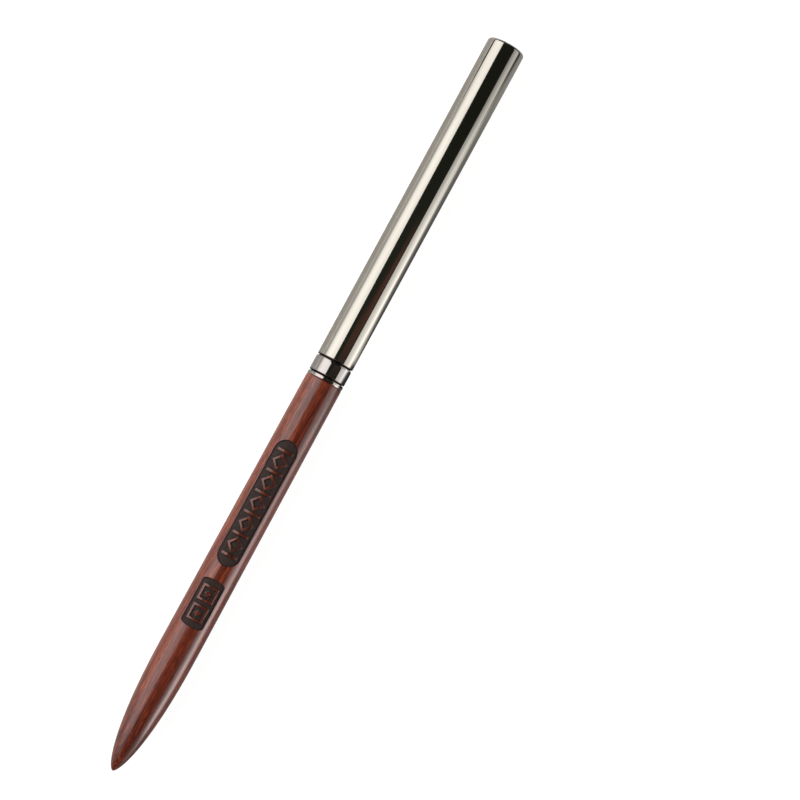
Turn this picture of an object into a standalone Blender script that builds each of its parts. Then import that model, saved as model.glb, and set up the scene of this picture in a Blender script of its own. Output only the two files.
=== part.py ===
"""Flat nail brush: turned wooden handle, metal collar and ferrule, and a cap that pulls off.

The closed brush lies along X, with the pointed tail of the handle at -X, the closed end of
the cap at +X and the engraved panels facing +Z. Its underside is on z = 0 and it is centred
on x = 0 and y = 0. A station is a distance along the brush from the tip of the tail.

Every round piece is a prism or loft with SIDES flats, whose flats touch the real round
surface from outside. One flat faces straight down, and all pieces share the same corners,
so nested pieces keep an even gap between them.
"""
from math import cos, pi, sin, tan

import bmesh
import bpy

MM = 0.001

# Facets
SIDES = 32
ARC_STEPS = 5
SHARP_ANGLE = 30.0 * pi / 180.0

# Gaps between separate pieces
GLUE_GAP = 0.05 * MM
CAP_RUNNING_GAP = 0.06 * MM
CAP_STOP_GAP = 0.25 * MM

# Ferrule: a thin tube, round at the back and pressed flat at the mouth
FERRULE_RADIUS = 2.77 * MM
FERRULE_WAIST_RADIUS = 2.70 * MM
FERRULE_WALL = 0.22 * MM
FERRULE_VISIBLE_LENGTH = 25.3 * MM
FERRULE_FLAT_LENGTH = 4.7 * MM
FERRULE_RAMP_LENGTH = 4.1 * MM
MOUTH_HALF_WIDTH = 2.96 * MM
MOUTH_HALF_HEIGHT = 1.68 * MM

# Hair, its thread binding and the resin behind it
HAIR_VISIBLE_LENGTH = 12.3 * MM
HAIR_ROUND_LENGTH = 3.4 * MM
HAIR_TIP_THINNING = 0.55
BINDING_SETBACK = 0.8 * MM
BINDING_LENGTH = 1.6 * MM
BINDING_THICKNESS = 0.35 * MM
BINDING_TURNS = 4
RESIN_LENGTH = 5.5 * MM

# Socket bush inside the sleeve, and the pin that ties it to the wood
BUSH_WALL = 0.38 * MM
BUSH_SOCKET_DEPTH = 6.2 * MM
PIN_RADIUS = 1.95 * MM
PIN_CHAMFER = 0.25 * MM
PIN_GROOVE_COUNT = 5
PIN_GROOVE_DEPTH = 0.2 * MM
PIN_GROOVE_LENGTH = 0.8 * MM
PIN_DEPTH_IN_WOOD = 15.5 * MM
PIN_END_ROOM = 0.3 * MM

# Metal sleeve, and the bead and band pressed over it
SLEEVE_WALL = 0.30 * MM
SLEEVE_SEAT_LENGTH = 7.5 * MM
SLEEVE_LIP = 0.40 * MM
SLEEVE_FILLET = 0.70 * MM
BEAD_LENGTH = 0.85 * MM
BEAD_FILLET = 0.22 * MM
GROOVE_LENGTH = 0.25 * MM
BAND_LENGTH = 3.40 * MM
BAND_REAR_EDGE = 0.10 * MM
SHOULDER_LENGTH = 0.60 * MM
SHOULDER_DROP = 0.32 * MM

# Cap: one drawn tube with a closed end, a little wider at that end
CAP_WALL = 0.42 * MM
CAP_LENGTH = 75.1 * MM
CAP_FLARE = 0.11 * MM
CAP_MOUTH_EDGE = 0.12 * MM
CAP_END_FILLET = 0.75 * MM
CAP_END_WALL = 0.60 * MM

# Wooden handle
HANDLE_LENGTH = 90.3 * MM
HANDLE_SWELL = 0.14 * MM
HANDLE_NECK_EDGE = 0.08 * MM
TAIL_LENGTH = 28.7 * MM
TAIL_RINGS = 15
TAIL_FULLNESS = 2.4
TAIL_BLUNTNESS = 0.6
BODY_RINGS = 6

# Panels sunk into the top of the handle, with raised figures
PANEL_HALF_WIDTH = 2.47 * MM
PANEL_DEPTH = 0.20 * MM
SMALL_PANEL_SETBACK = 4.6 * MM
SMALL_PANEL_LENGTH = 10.7 * MM
SMALL_PANEL_END = 0.95 * MM
SMALL_PANEL_POWER = 2.6
PANEL_SPACING = 3.4 * MM
LONG_PANEL_LENGTH = 28.8 * MM
LOZENGE_COUNT = 5
SQUARE_COUNT = 2
FIGURE_HALF_HEIGHT = 1.75 * MM
FIGURE_STROKE = 0.50 * MM
FIGURE_MARGIN = 2.4 * MM
BAR_HALF_WIDTH = 0.30 * MM

# Radii, from the ferrule outwards
FERRULE_BORE_RADIUS = FERRULE_RADIUS + GLUE_GAP
BUSH_RADIUS = FERRULE_BORE_RADIUS + BUSH_WALL
SLEEVE_BORE_RADIUS = BUSH_RADIUS + GLUE_GAP
SLEEVE_RADIUS = SLEEVE_BORE_RADIUS + SLEEVE_WALL
CAP_BORE_RADIUS = SLEEVE_RADIUS + CAP_RUNNING_GAP
CAP_MOUTH_RADIUS = CAP_BORE_RADIUS + CAP_WALL
CAP_END_RADIUS = CAP_MOUTH_RADIUS + CAP_FLARE
COLLAR_RADIUS = CAP_MOUTH_RADIUS
COLLAR_BORE_RADIUS = SLEEVE_RADIUS + GLUE_GAP
HANDLE_RADIUS = COLLAR_RADIUS + HANDLE_SWELL
PIN_BORE_RADIUS = PIN_RADIUS + GLUE_GAP

# Stations, from the tail to the closed end of the cap
PIN_REAR = HANDLE_LENGTH - PIN_DEPTH_IN_WOOD
HANDLE_BORE_FLOOR = PIN_REAR - PIN_END_ROOM
COLLAR_REAR = HANDLE_LENGTH + GLUE_GAP
BEAD_FRONT = COLLAR_REAR + BEAD_LENGTH
BAND_REAR = BEAD_FRONT + GROOVE_LENGTH
BAND_FRONT = BAND_REAR + BAND_LENGTH
SLEEVE_FRONT = BAND_FRONT + SLEEVE_SEAT_LENGTH
BUSH_FRONT = SLEEVE_FRONT - SLEEVE_LIP - GLUE_GAP
FERRULE_REAR = BUSH_FRONT - BUSH_SOCKET_DEPTH + GLUE_GAP
PIN_FRONT = BUSH_FRONT - BUSH_SOCKET_DEPTH - GLUE_GAP
FERRULE_MOUTH = SLEEVE_FRONT + FERRULE_VISIBLE_LENGTH
FLAT_START = FERRULE_MOUTH - FERRULE_FLAT_LENGTH
RAMP_START = FLAT_START - FERRULE_RAMP_LENGTH
HAIR_ROOT = RAMP_START - HAIR_ROUND_LENGTH
HAIR_TIP = FERRULE_MOUTH + HAIR_VISIBLE_LENGTH
RESIN_FRONT = HAIR_ROOT - GLUE_GAP
RESIN_REAR = RESIN_FRONT - RESIN_LENGTH
BINDING_REAR = HAIR_ROOT + BINDING_SETBACK
BINDING_FRONT = BINDING_REAR + BINDING_LENGTH
CAP_MOUTH = BAND_FRONT + CAP_STOP_GAP
CAP_END = CAP_MOUTH + CAP_LENGTH
SMALL_PANEL_START = TAIL_LENGTH + SMALL_PANEL_SETBACK
SMALL_PANEL_STOP = SMALL_PANEL_START + SMALL_PANEL_LENGTH
LONG_PANEL_START = SMALL_PANEL_STOP + PANEL_SPACING
LONG_PANEL_STOP = LONG_PANEL_START + LONG_PANEL_LENGTH

# Place of the brush in the world
TAIL_X = -0.5 * CAP_END
AXIS_HEIGHT = max(HANDLE_RADIUS, CAP_END_RADIUS)

# Finishes: colour, metallic, roughness
ROSEWOOD = ("rosewood", (0.19, 0.055, 0.03), 0.0, 0.25)
COLLAR_NICKEL = ("collar_nickel", (0.62, 0.60, 0.58), 1.0, 0.12)
FERRULE_NICKEL = ("ferrule_nickel", (0.60, 0.59, 0.57), 1.0, 0.10)
CAP_NICKEL = ("cap_nickel", (0.72, 0.69, 0.62), 1.0, 0.10)
BRASS = ("turned_brass", (0.78, 0.60, 0.30), 1.0, 0.30)
STEEL = ("pin_steel", (0.55, 0.55, 0.55), 1.0, 0.35)
RESIN = ("amber_resin", (0.55, 0.33, 0.10), 0.0, 0.30)
THREAD = ("waxed_thread", (0.65, 0.58, 0.45), 0.0, 0.80)
HAIR = ("dark_hair", (0.045, 0.022, 0.022), 0.0, 0.55)


# Scene

def clear_scene():
    """Remove every object, so that the model is all the file holds."""
    for leftover in list(bpy.data.objects):
        bpy.data.objects.remove(leftover, do_unlink=True)


def new_collection(name):
    """Make a collection in the scene."""
    collection = bpy.data.collections.new(name)
    bpy.context.scene.collection.children.link(collection)
    return collection


def new_empty(name, collection):
    """Make an empty at the tip of the tail, on the axis of the brush."""
    empty = bpy.data.objects.new(name, None)
    empty.location = (TAIL_X, 0.0, AXIS_HEIGHT)
    empty.empty_display_size = 5.0 * MM
    collection.objects.link(empty)
    return empty


def finish_material(finish):
    """Make the Principled material of one finish."""
    name, colour, metallic, roughness = finish
    material = bpy.data.materials.new(name)
    material.use_nodes = True
    shader = material.node_tree.nodes["Principled BSDF"]
    shader.inputs["Base Color"].default_value = (*colour, 1.0)
    shader.inputs["Metallic"].default_value = metallic
    shader.inputs["Roughness"].default_value = roughness
    return material


def evaluated_mesh(shape, collection):
    """Return the mesh of an object or curve with its modifiers applied, and remove it."""
    collection.objects.link(shape)
    depsgraph = bpy.context.evaluated_depsgraph_get()
    mesh = bpy.data.meshes.new_from_object(shape.evaluated_get(depsgraph))
    bpy.data.objects.remove(shape, do_unlink=True)
    return mesh


def new_piece(name, mesh, parent, collection, finish=None):
    """Put a mesh in the scene as one named piece that hangs from its body's empty."""
    mesh.name = name
    mesh.shade_smooth()
    mesh.set_sharp_from_angle(angle=SHARP_ANGLE)
    piece = bpy.data.objects.new(name, mesh)
    piece.parent = parent
    if finish is not None:
        mesh.materials.append(finish_material(finish))
    collection.objects.link(piece)
    return piece


# Turned shapes

def round_corner(station, radius, station_size, radius_size, first_degrees, last_degrees):
    """Return points on an arc about (station, radius), with one size along each direction.

    Zero degrees points to the cap end, and 90 degrees points away from the axis.
    """
    points = []
    for step in range(ARC_STEPS + 1):
        turn = first_degrees + (last_degrees - first_degrees) * step / ARC_STEPS
        angle = turn * pi / 180.0
        points.append((station + station_size * cos(angle), radius + radius_size * sin(angle)))
    return points


def turned_mesh(outline, collection, closed_outline):
    """Turn an outline of (station, radius) points about the axis of the brush.

    The outline runs down its outer side from the cap end to the tail. Its points lie on a
    corner beside the lowest flat, so the flats touch the outline's radius.
    """
    corner_offset = tan(pi / SIDES)
    points = [(station, -radius * corner_offset, -radius) for station, radius in outline]
    edges = [(index, index + 1) for index in range(len(points) - 1)]
    if closed_outline:
        edges.append((len(points) - 1, 0))
    mesh = bpy.data.meshes.new("outline")
    mesh.from_pydata(points, edges, [])
    shape = bpy.data.objects.new("outline", mesh)
    screw = shape.modifiers.new("turn", "SCREW")
    screw.axis = "X"
    screw.steps = SIDES
    screw.render_steps = SIDES
    screw.use_merge_vertices = True
    screw.merge_threshold = 0.000001
    return evaluated_mesh(shape, collection)


# Shapes with flattened sections

def flattened_ring(station, half_width, round_height, half_height):
    """Return the corners of an ellipse whose top and bottom are cut to a flat.

    The ellipse is half_width wide and round_height high from its middle, and a flat lies at
    half_height where that is lower. Each size is measured to the middle of a flat.
    """
    outside = 1.0 / cos(pi / SIDES)
    ring = []
    for index in range(SIDES):
        angle = 2.0 * pi * (index + 0.5) / SIDES
        side = half_width * outside * cos(angle)
        height = round_height * outside * sin(angle)
        height = max(-half_height, min(half_height, height))
        ring.append((station, side, height))
    return ring


def loft_mesh(rings, closed_loop):
    """Join rings of SIDES corners in order, and close the ends or join the last to the first."""
    shape = bmesh.new()
    rows = [[shape.verts.new(corner) for corner in ring] for ring in rings]
    pairs = list(zip(rows, rows[1:]))
    if closed_loop:
        pairs.append((rows[-1], rows[0]))
    else:
        shape.faces.new(rows[0])
        shape.faces.new(rows[-1])
    for row, next_row in pairs:
        for index in range(SIDES):
            following = (index + 1) % SIDES
            corners = (row[index], row[following], next_row[following], next_row[index])
            shape.faces.new(corners)
    bmesh.ops.recalc_face_normals(shape, faces=shape.faces)
    mesh = bpy.data.meshes.new("loft")
    shape.to_mesh(mesh)
    shape.free()
    return mesh


def share(station, start, stop):
    """Return how far a station lies from start to stop, from 0 to 1."""
    return max(0.0, min(1.0, (station - start) / (stop - start)))


def ferrule_ring(station, inset):
    """Return the ferrule's section at a station, moved inwards by inset.

    The tube narrows a little from the sleeve to the ramp. Along the ramp it spreads to the
    mouth's width while the flats come down to the mouth's height in a straight slope.
    """
    narrowing = share(station, SLEEVE_FRONT, RAMP_START)
    radius = FERRULE_RADIUS + (FERRULE_WAIST_RADIUS - FERRULE_RADIUS) * narrowing
    ramp = share(station, RAMP_START, FLAT_START)
    spread = ramp * ramp * (3.0 - 2.0 * ramp)
    half_width = radius + (MOUTH_HALF_WIDTH - radius) * spread
    half_height = radius + (MOUTH_HALF_HEIGHT - radius) * ramp
    if ramp == 0.0:
        half_height = radius / cos(pi / SIDES)
    return flattened_ring(station, half_width - inset, radius - inset, half_height - inset)


def stations_between(start, stop, count):
    """Return count + 1 evenly spaced stations from start to stop."""
    return [start + (stop - start) * index / count for index in range(count + 1)]


def ferrule_stations(start, stop):
    """Return the stations where the ferrule's section changes, from start to stop."""
    marks = [start, stop, SLEEVE_FRONT]
    marks += stations_between(RAMP_START, FLAT_START, 5)
    return sorted({mark for mark in marks if start <= mark <= stop})


# Handle and its panels

def tail_radius(progress):
    """Return the tail's radius: 0 at its tip and the full radius at progress 1.

    The radius is HANDLE_RADIUS * (1 - (1 - progress) ** TAIL_FULLNESS) ** TAIL_BLUNTNESS.
    """
    fullness = 1.0 - (1.0 - progress) ** TAIL_FULLNESS
    return HANDLE_RADIUS * fullness ** TAIL_BLUNTNESS


def handle_outline(inset):
    """Return the outer side of the handle from its neck to the tip, moved in by inset."""
    outline = [(HANDLE_LENGTH, COLLAR_RADIUS - HANDLE_NECK_EDGE - inset)]
    body_start = HANDLE_LENGTH - HANDLE_NECK_EDGE
    for station in stations_between(body_start, TAIL_LENGTH, BODY_RINGS):
        radius = COLLAR_RADIUS + HANDLE_SWELL * share(station, body_start, TAIL_LENGTH)
        outline.append((station, radius - inset))
    for ring in range(TAIL_RINGS - 1, 0, -1):
        progress = (ring / TAIL_RINGS) ** 2
        radius = tail_radius(progress) - inset
        if radius > 0.0:
            outline.append((TAIL_LENGTH * progress, radius))
    outline.append((0.5 * outline[-1][0] if inset > 0.0 else 0.0, 0.0))
    return outline


def panel_loop(start, stop, end_depth, power):
    """Return a panel's outline seen from above: two straight sides and two rounded ends.

    Each end is half of the curve |x / end_depth| ** power + |y / half_width| ** power = 1.
    """
    loop = []
    for centre, direction in ((stop - end_depth, 1.0), (start + end_depth, -1.0)):
        for step in range(4 * ARC_STEPS + 1):
            angle = direction * pi * (step / (4 * ARC_STEPS) - 0.5)
            outward = cos(angle) ** (2.0 / power) if step % (4 * ARC_STEPS) else 0.0
            sideways = abs(sin(angle)) ** (2.0 / power)
            side = sideways if sin(angle) > 0.0 else -sideways
            loop.append((centre + direction * end_depth * outward, PANEL_HALF_WIDTH * side))
    return loop


def lozenge_loop(middle, half_length, half_height):
    """Return a diamond seen from above."""
    return [
        (middle - half_length, 0.0),
        (middle, -half_height),
        (middle + half_length, 0.0),
        (middle, half_height),
    ]


def square_loop(middle, half_length, half_height):
    """Return a rectangle seen from above."""
    return [
        (middle - half_length, -half_height),
        (middle + half_length, -half_height),
        (middle + half_length, half_height),
        (middle - half_length, half_height),
    ]


def long_panel_figures():
    """Return the raised figures of the long panel: open diamonds with bars between them."""
    first = LONG_PANEL_START + FIGURE_MARGIN
    pitch = (LONG_PANEL_LENGTH - 2.0 * FIGURE_MARGIN) / LOZENGE_COUNT
    half_length = 0.5 * pitch - 2.0 * BAR_HALF_WIDTH
    # A stroke of even width along a sloping side takes more room along each axis.
    slope = (half_length ** 2 + FIGURE_HALF_HEIGHT ** 2) ** 0.5
    inner_length = half_length - FIGURE_STROKE * slope / FIGURE_HALF_HEIGHT
    inner_height = FIGURE_HALF_HEIGHT - FIGURE_STROKE * slope / half_length
    loops = []
    for number in range(LOZENGE_COUNT):
        middle = first + pitch * (number + 0.5)
        loops.append(lozenge_loop(middle, half_length, FIGURE_HALF_HEIGHT))
        loops.append(lozenge_loop(middle, inner_length, inner_height))
    for number in range(LOZENGE_COUNT + 1):
        middle = first + pitch * number
        loops.append(square_loop(middle, BAR_HALF_WIDTH, FIGURE_HALF_HEIGHT))
    return loops


def small_panel_figures():
    """Return the raised figures of the small panel: open squares, each with a diamond."""
    pitch = (SMALL_PANEL_LENGTH - 2.0 * SMALL_PANEL_END) / SQUARE_COUNT
    half_length = min(FIGURE_HALF_HEIGHT, 0.5 * pitch - 0.5 * FIGURE_STROKE)
    loops = []
    for number in range(SQUARE_COUNT):
        middle = SMALL_PANEL_START + SMALL_PANEL_END + pitch * (number + 0.5)
        inner_length = half_length - FIGURE_STROKE
        inner_height = FIGURE_HALF_HEIGHT - FIGURE_STROKE
        loops.append(square_loop(middle, half_length, FIGURE_HALF_HEIGHT))
        loops.append(square_loop(middle, inner_length, inner_height))
        core_length = inner_length - FIGURE_STROKE
        core_height = inner_height - FIGURE_STROKE
        loops.append(lozenge_loop(middle, core_length, core_height))
    return loops


def prism_mesh(loops, height, collection):
    """Extrude flat loops upwards from the axis; a loop inside another is a hole in it."""
    curve = bpy.data.curves.new("loops", "CURVE")
    curve.dimensions = "2D"
    curve.fill_mode = "BOTH"
    curve.extrude = 0.5 * height
    for loop in loops:
        spline = curve.splines.new("POLY")
        spline.points.add(len(loop) - 1)
        for point, (along, across) in zip(spline.points, loop):
            point.co = (along, across, 0.0, 1.0)
        spline.use_cyclic_u = True
    shape = bpy.data.objects.new("loops", curve)
    mesh = evaluated_mesh(shape, collection)
    bpy.data.curves.remove(curve)
    solid = bmesh.new()
    solid.from_mesh(mesh)
    bmesh.ops.remove_doubles(solid, verts=solid.verts, dist=0.0001 * MM)
    bmesh.ops.translate(solid, verts=solid.verts, vec=(0.0, 0.0, 0.5 * height))
    bmesh.ops.recalc_face_normals(solid, faces=solid.faces)
    solid.to_mesh(mesh)
    solid.free()
    return mesh


def cut(piece, cutter):
    """Take a cutter's shape out of a piece."""
    difference = piece.modifiers.new(cutter.name, "BOOLEAN")
    difference.operation = "DIFFERENCE"
    difference.solver = "EXACT"
    difference.object = cutter


def as_cutter(piece):
    """Show a piece as wires and leave it out of the renders."""
    piece.hide_render = True
    piece.display_type = "WIRE"
    return piece


def add_panel_cutter(name, loops, floor, body, cutters):
    """Add the cutter of one panel: its outline, less its figures and the wood below."""
    height = HANDLE_RADIUS + PANEL_DEPTH
    cutter = new_piece(name, prism_mesh(loops, height, cutters), body, cutters)
    cut(cutter, floor)
    return as_cutter(cutter)


def add_handle(body, parts, cutters):
    """Add the turned handle: pointed tail, bored neck and two sunk panels on top."""
    outline = [
        (HANDLE_BORE_FLOOR, 0.0),
        (HANDLE_BORE_FLOOR, PIN_BORE_RADIUS),
        (HANDLE_LENGTH, PIN_BORE_RADIUS),
    ]
    outline += handle_outline(0.0)
    handle = new_piece("handle", turned_mesh(outline, cutters, False), body, parts, ROSEWOOD)
    floor_outline = [(HANDLE_LENGTH, 0.0)] + handle_outline(PANEL_DEPTH)
    floor_mesh = turned_mesh(floor_outline, cutters, False)
    floor = as_cutter(new_piece("panel_floor", floor_mesh, body, cutters))
    small_loops = [panel_loop(SMALL_PANEL_START, SMALL_PANEL_STOP, SMALL_PANEL_END,
                              SMALL_PANEL_POWER)]
    small_loops += small_panel_figures()
    long_loops = [panel_loop(LONG_PANEL_START, LONG_PANEL_STOP, PANEL_HALF_WIDTH, 2.0)]
    long_loops += long_panel_figures()
    cut(handle, add_panel_cutter("small_panel_cut", small_loops, floor, body, cutters))
    cut(handle, add_panel_cutter("long_panel_cut", long_loops, floor, body, cutters))
    return handle


# Metal between the wood and the hair

def add_bead_ring(body, parts, cutters):
    """Add the narrow bead that meets the end of the wood."""
    fillet = BEAD_FILLET
    outline = [(BEAD_FRONT, COLLAR_BORE_RADIUS)]
    outline += round_corner(BEAD_FRONT - fillet, COLLAR_RADIUS - fillet, fillet, fillet, 0, 90)
    outline += round_corner(COLLAR_REAR + fillet, COLLAR_RADIUS - fillet, fillet, fillet, 90, 180)
    outline.append((COLLAR_REAR, COLLAR_BORE_RADIUS))
    return new_piece("bead_ring", turned_mesh(outline, cutters, True), body, parts, COLLAR_NICKEL)


def add_collar_band(body, parts, cutters):
    """Add the wide band whose rounded shoulder stops the cap."""
    outline = [(BAND_FRONT, COLLAR_BORE_RADIUS)]
    outline += round_corner(
        BAND_FRONT - SHOULDER_LENGTH, COLLAR_RADIUS - SHOULDER_DROP,
        SHOULDER_LENGTH, SHOULDER_DROP, 0, 90,
    )
    outline.append((BAND_REAR + BAND_REAR_EDGE, COLLAR_RADIUS))
    outline.append((BAND_REAR, COLLAR_RADIUS - BAND_REAR_EDGE))
    outline.append((BAND_REAR, COLLAR_BORE_RADIUS))
    return new_piece("collar_band", turned_mesh(outline, cutters, True), body, parts, COLLAR_NICKEL)


def add_cap_seat_sleeve(body, parts, cutters):
    """Add the drawn sleeve that the cap slides on, closed down to the ferrule in front."""
    fillet = SLEEVE_FILLET
    outline = [(SLEEVE_FRONT, FERRULE_BORE_RADIUS)]
    outline += round_corner(SLEEVE_FRONT - fillet, SLEEVE_RADIUS - fillet, fillet, fillet, 0, 90)
    outline.append((COLLAR_REAR, SLEEVE_RADIUS))
    outline.append((COLLAR_REAR, SLEEVE_BORE_RADIUS))
    outline.append((SLEEVE_FRONT - SLEEVE_LIP, SLEEVE_BORE_RADIUS))
    outline.append((SLEEVE_FRONT - SLEEVE_LIP, FERRULE_BORE_RADIUS))
    mesh = turned_mesh(outline, cutters, True)
    return new_piece("cap_seat_sleeve", mesh, body, parts, COLLAR_NICKEL)


def add_socket_bush(body, parts, cutters):
    """Add the bush inside the sleeve: ferrule socket in front, pin bore behind."""
    socket_floor = BUSH_FRONT - BUSH_SOCKET_DEPTH
    outline = [
        (BUSH_FRONT, FERRULE_BORE_RADIUS),
        (BUSH_FRONT, BUSH_RADIUS),
        (COLLAR_REAR, BUSH_RADIUS),
        (COLLAR_REAR, PIN_BORE_RADIUS),
        (socket_floor, PIN_BORE_RADIUS),
        (socket_floor, FERRULE_BORE_RADIUS),
    ]
    return new_piece("socket_bush", turned_mesh(outline, cutters, True), body, parts, BRASS)


def add_tang_pin(body, parts, cutters):
    """Add the steel pin glued into the wood and the bush, grooved where the glue holds it."""
    outline = [(PIN_FRONT, 0.0), (PIN_FRONT, PIN_RADIUS - PIN_CHAMFER)]
    outline.append((PIN_FRONT - PIN_CHAMFER, PIN_RADIUS))
    pitch = PIN_DEPTH_IN_WOOD / (PIN_GROOVE_COUNT + 1)
    for groove in range(PIN_GROOVE_COUNT):
        middle = HANDLE_LENGTH - pitch * (groove + 1)
        outline.append((middle + 0.5 * PIN_GROOVE_LENGTH, PIN_RADIUS))
        outline.append((middle, PIN_RADIUS - PIN_GROOVE_DEPTH))
        outline.append((middle - 0.5 * PIN_GROOVE_LENGTH, PIN_RADIUS))
    outline.append((PIN_REAR + PIN_CHAMFER, PIN_RADIUS))
    outline.append((PIN_REAR, PIN_RADIUS - PIN_CHAMFER))
    outline.append((PIN_REAR, 0.0))
    return new_piece("tang_pin", turned_mesh(outline, cutters, False), body, parts, STEEL)


# Ferrule and hair

def add_ferrule(body, parts):
    """Add the ferrule: outside from back to mouth, then the inside back again."""
    stations = ferrule_stations(FERRULE_REAR, FERRULE_MOUTH)
    rings = [ferrule_ring(station, 0.0) for station in stations]
    rings += [ferrule_ring(station, FERRULE_WALL) for station in reversed(stations)]
    return new_piece("ferrule", loft_mesh(rings, True), body, parts, FERRULE_NICKEL)


def add_resin_plug(body, parts):
    """Add the resin that fills the ferrule behind the roots of the hair."""
    stations = ferrule_stations(RESIN_REAR, RESIN_FRONT)
    rings = [ferrule_ring(station, FERRULE_WALL + GLUE_GAP) for station in stations]
    return new_piece("resin_plug", loft_mesh(rings, False), body, parts, RESIN)


def add_hair_binding(body, parts, cutters):
    """Add the thread wound round the hair's roots: a ring with a ridge for each turn."""
    outer_radius = FERRULE_WAIST_RADIUS - FERRULE_WALL - GLUE_GAP
    inner_radius = outer_radius - BINDING_THICKNESS
    thread_radius = 0.5 * BINDING_LENGTH / BINDING_TURNS
    outline = [(BINDING_FRONT, inner_radius)]
    for turn in range(BINDING_TURNS):
        middle = BINDING_FRONT - thread_radius * (2 * turn + 1)
        outline += round_corner(
            middle, outer_radius - thread_radius, thread_radius, thread_radius, 25, 155)
    outline.append((BINDING_REAR, inner_radius))
    return new_piece("hair_binding", turned_mesh(outline, cutters, True), body, parts, THREAD)


def hair_ring(station):
    """Return the hair's section at a station past the mouth.

    With v from 0 at the mouth to 1 at the tip, the width falls as (1 - v ** 4) ** 0.22 to a
    rounded square end, and the thickness also loses HAIR_TIP_THINNING of itself evenly.
    """
    v = share(station, FERRULE_MOUTH, HAIR_TIP)
    inset = FERRULE_WALL + GLUE_GAP
    end_rounding = (1.0 - v ** 4) ** 0.22
    thinning = (1.0 - HAIR_TIP_THINNING * v) * end_rounding
    half_width = (MOUTH_HALF_WIDTH - inset) * end_rounding
    round_height = (FERRULE_WAIST_RADIUS - inset) * thinning
    half_height = (MOUTH_HALF_HEIGHT - inset) * thinning
    return flattened_ring(station, half_width, round_height, half_height)


def add_bristle_tuft(body, parts):
    """Add the hair: a round bundle, tied near its root, that the ferrule presses flat."""
    loose = FERRULE_WALL + GLUE_GAP
    tied = loose + BINDING_THICKNESS + GLUE_GAP
    rings = [ferrule_ring(HAIR_ROOT, loose)]
    rings.append(ferrule_ring(BINDING_REAR - GLUE_GAP, loose))
    rings.append(ferrule_ring(BINDING_REAR - GLUE_GAP, tied))
    rings.append(ferrule_ring(BINDING_FRONT + GLUE_GAP, tied))
    for station in ferrule_stations(BINDING_FRONT + GLUE_GAP, FERRULE_MOUTH):
        rings.append(ferrule_ring(station, loose))
    for progress in (0.25, 0.5, 0.65, 0.78, 0.88, 0.94, 0.975, 0.995):
        rings.append(hair_ring(FERRULE_MOUTH + HAIR_VISIBLE_LENGTH * progress))
    return new_piece("bristle_tuft", loft_mesh(rings, False), body, parts, HAIR)


# Cap

def add_cap(cap_body, parts, cutters):
    """Add the cap: a drawn tube with a closed end, straight inside and flared outside."""
    fillet = CAP_END_FILLET
    outline = [(CAP_END, 0.0)]
    outline += round_corner(CAP_END - fillet, CAP_END_RADIUS - fillet, fillet, fillet, 0, 90)
    outline.append((CAP_MOUTH + CAP_MOUTH_EDGE, CAP_MOUTH_RADIUS))
    outline.append((CAP_MOUTH, CAP_MOUTH_RADIUS - CAP_MOUTH_EDGE))
    outline.append((CAP_MOUTH, CAP_BORE_RADIUS + CAP_MOUTH_EDGE))
    outline.append((CAP_MOUTH + CAP_MOUTH_EDGE, CAP_BORE_RADIUS))
    outline.append((CAP_END - CAP_END_WALL - fillet, CAP_BORE_RADIUS))
    outline.append((CAP_END - CAP_END_WALL, CAP_BORE_RADIUS - fillet))
    outline.append((CAP_END - CAP_END_WALL, 0.0))
    return new_piece("cap", turned_mesh(outline, cutters, False), cap_body, parts, CAP_NICKEL)


def main():
    """Build the brush with its cap on."""
    clear_scene()
    parts = new_collection("acrylic_nail_brush")
    cutters = new_collection("cutters")
    body = new_empty("brush_axis", parts)
    cap_body = new_empty("cap_axis", parts)
    add_handle(body, parts, cutters)
    add_tang_pin(body, parts, cutters)
    add_socket_bush(body, parts, cutters)
    add_bead_ring(body, parts, cutters)
    add_collar_band(body, parts, cutters)
    add_cap_seat_sleeve(body, parts, cutters)
    add_ferrule(body, parts)
    add_resin_plug(body, parts)
    add_hair_binding(body, parts, cutters)
    add_bristle_tuft(body, parts)
    add_cap(cap_body, parts, cutters)


main()
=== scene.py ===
"""Looks of the capped nail brush: rosewood handle, nickel collar, ferrule and cap, dark hair.

The brush lies along X, with the tip of its tail at the lowest X, its engraved panels facing up
and its underside on the floor. Sizes are in metres. A station is a distance along the brush
from the tip of the tail, and an angle round the brush is 0 at the top and grows towards +Y.
"""

import logging
from dataclasses import dataclass, field
from enum import Enum

import bpy
import numpy as np
from mathutils import Matrix, Vector

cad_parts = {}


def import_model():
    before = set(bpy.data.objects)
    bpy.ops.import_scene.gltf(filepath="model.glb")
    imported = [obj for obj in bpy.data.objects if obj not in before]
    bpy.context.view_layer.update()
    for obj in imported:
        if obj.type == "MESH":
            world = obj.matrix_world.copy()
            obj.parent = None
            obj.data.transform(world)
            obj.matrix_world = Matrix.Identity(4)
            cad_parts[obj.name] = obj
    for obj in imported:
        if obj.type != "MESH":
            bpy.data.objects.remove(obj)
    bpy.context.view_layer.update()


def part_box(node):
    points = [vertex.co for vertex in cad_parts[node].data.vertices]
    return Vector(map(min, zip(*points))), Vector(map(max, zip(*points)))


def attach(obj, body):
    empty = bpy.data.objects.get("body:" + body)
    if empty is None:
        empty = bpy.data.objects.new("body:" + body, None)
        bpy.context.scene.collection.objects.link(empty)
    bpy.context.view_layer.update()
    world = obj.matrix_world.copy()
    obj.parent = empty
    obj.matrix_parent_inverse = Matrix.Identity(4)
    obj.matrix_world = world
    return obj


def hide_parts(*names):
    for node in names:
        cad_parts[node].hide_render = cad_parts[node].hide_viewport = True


LOG = logging.getLogger("nail_brush")
MM = 0.001
Colour = tuple[float, float, float]
Array = np.ndarray
Socket = bpy.types.NodeSocket
Material = bpy.types.Material
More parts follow.
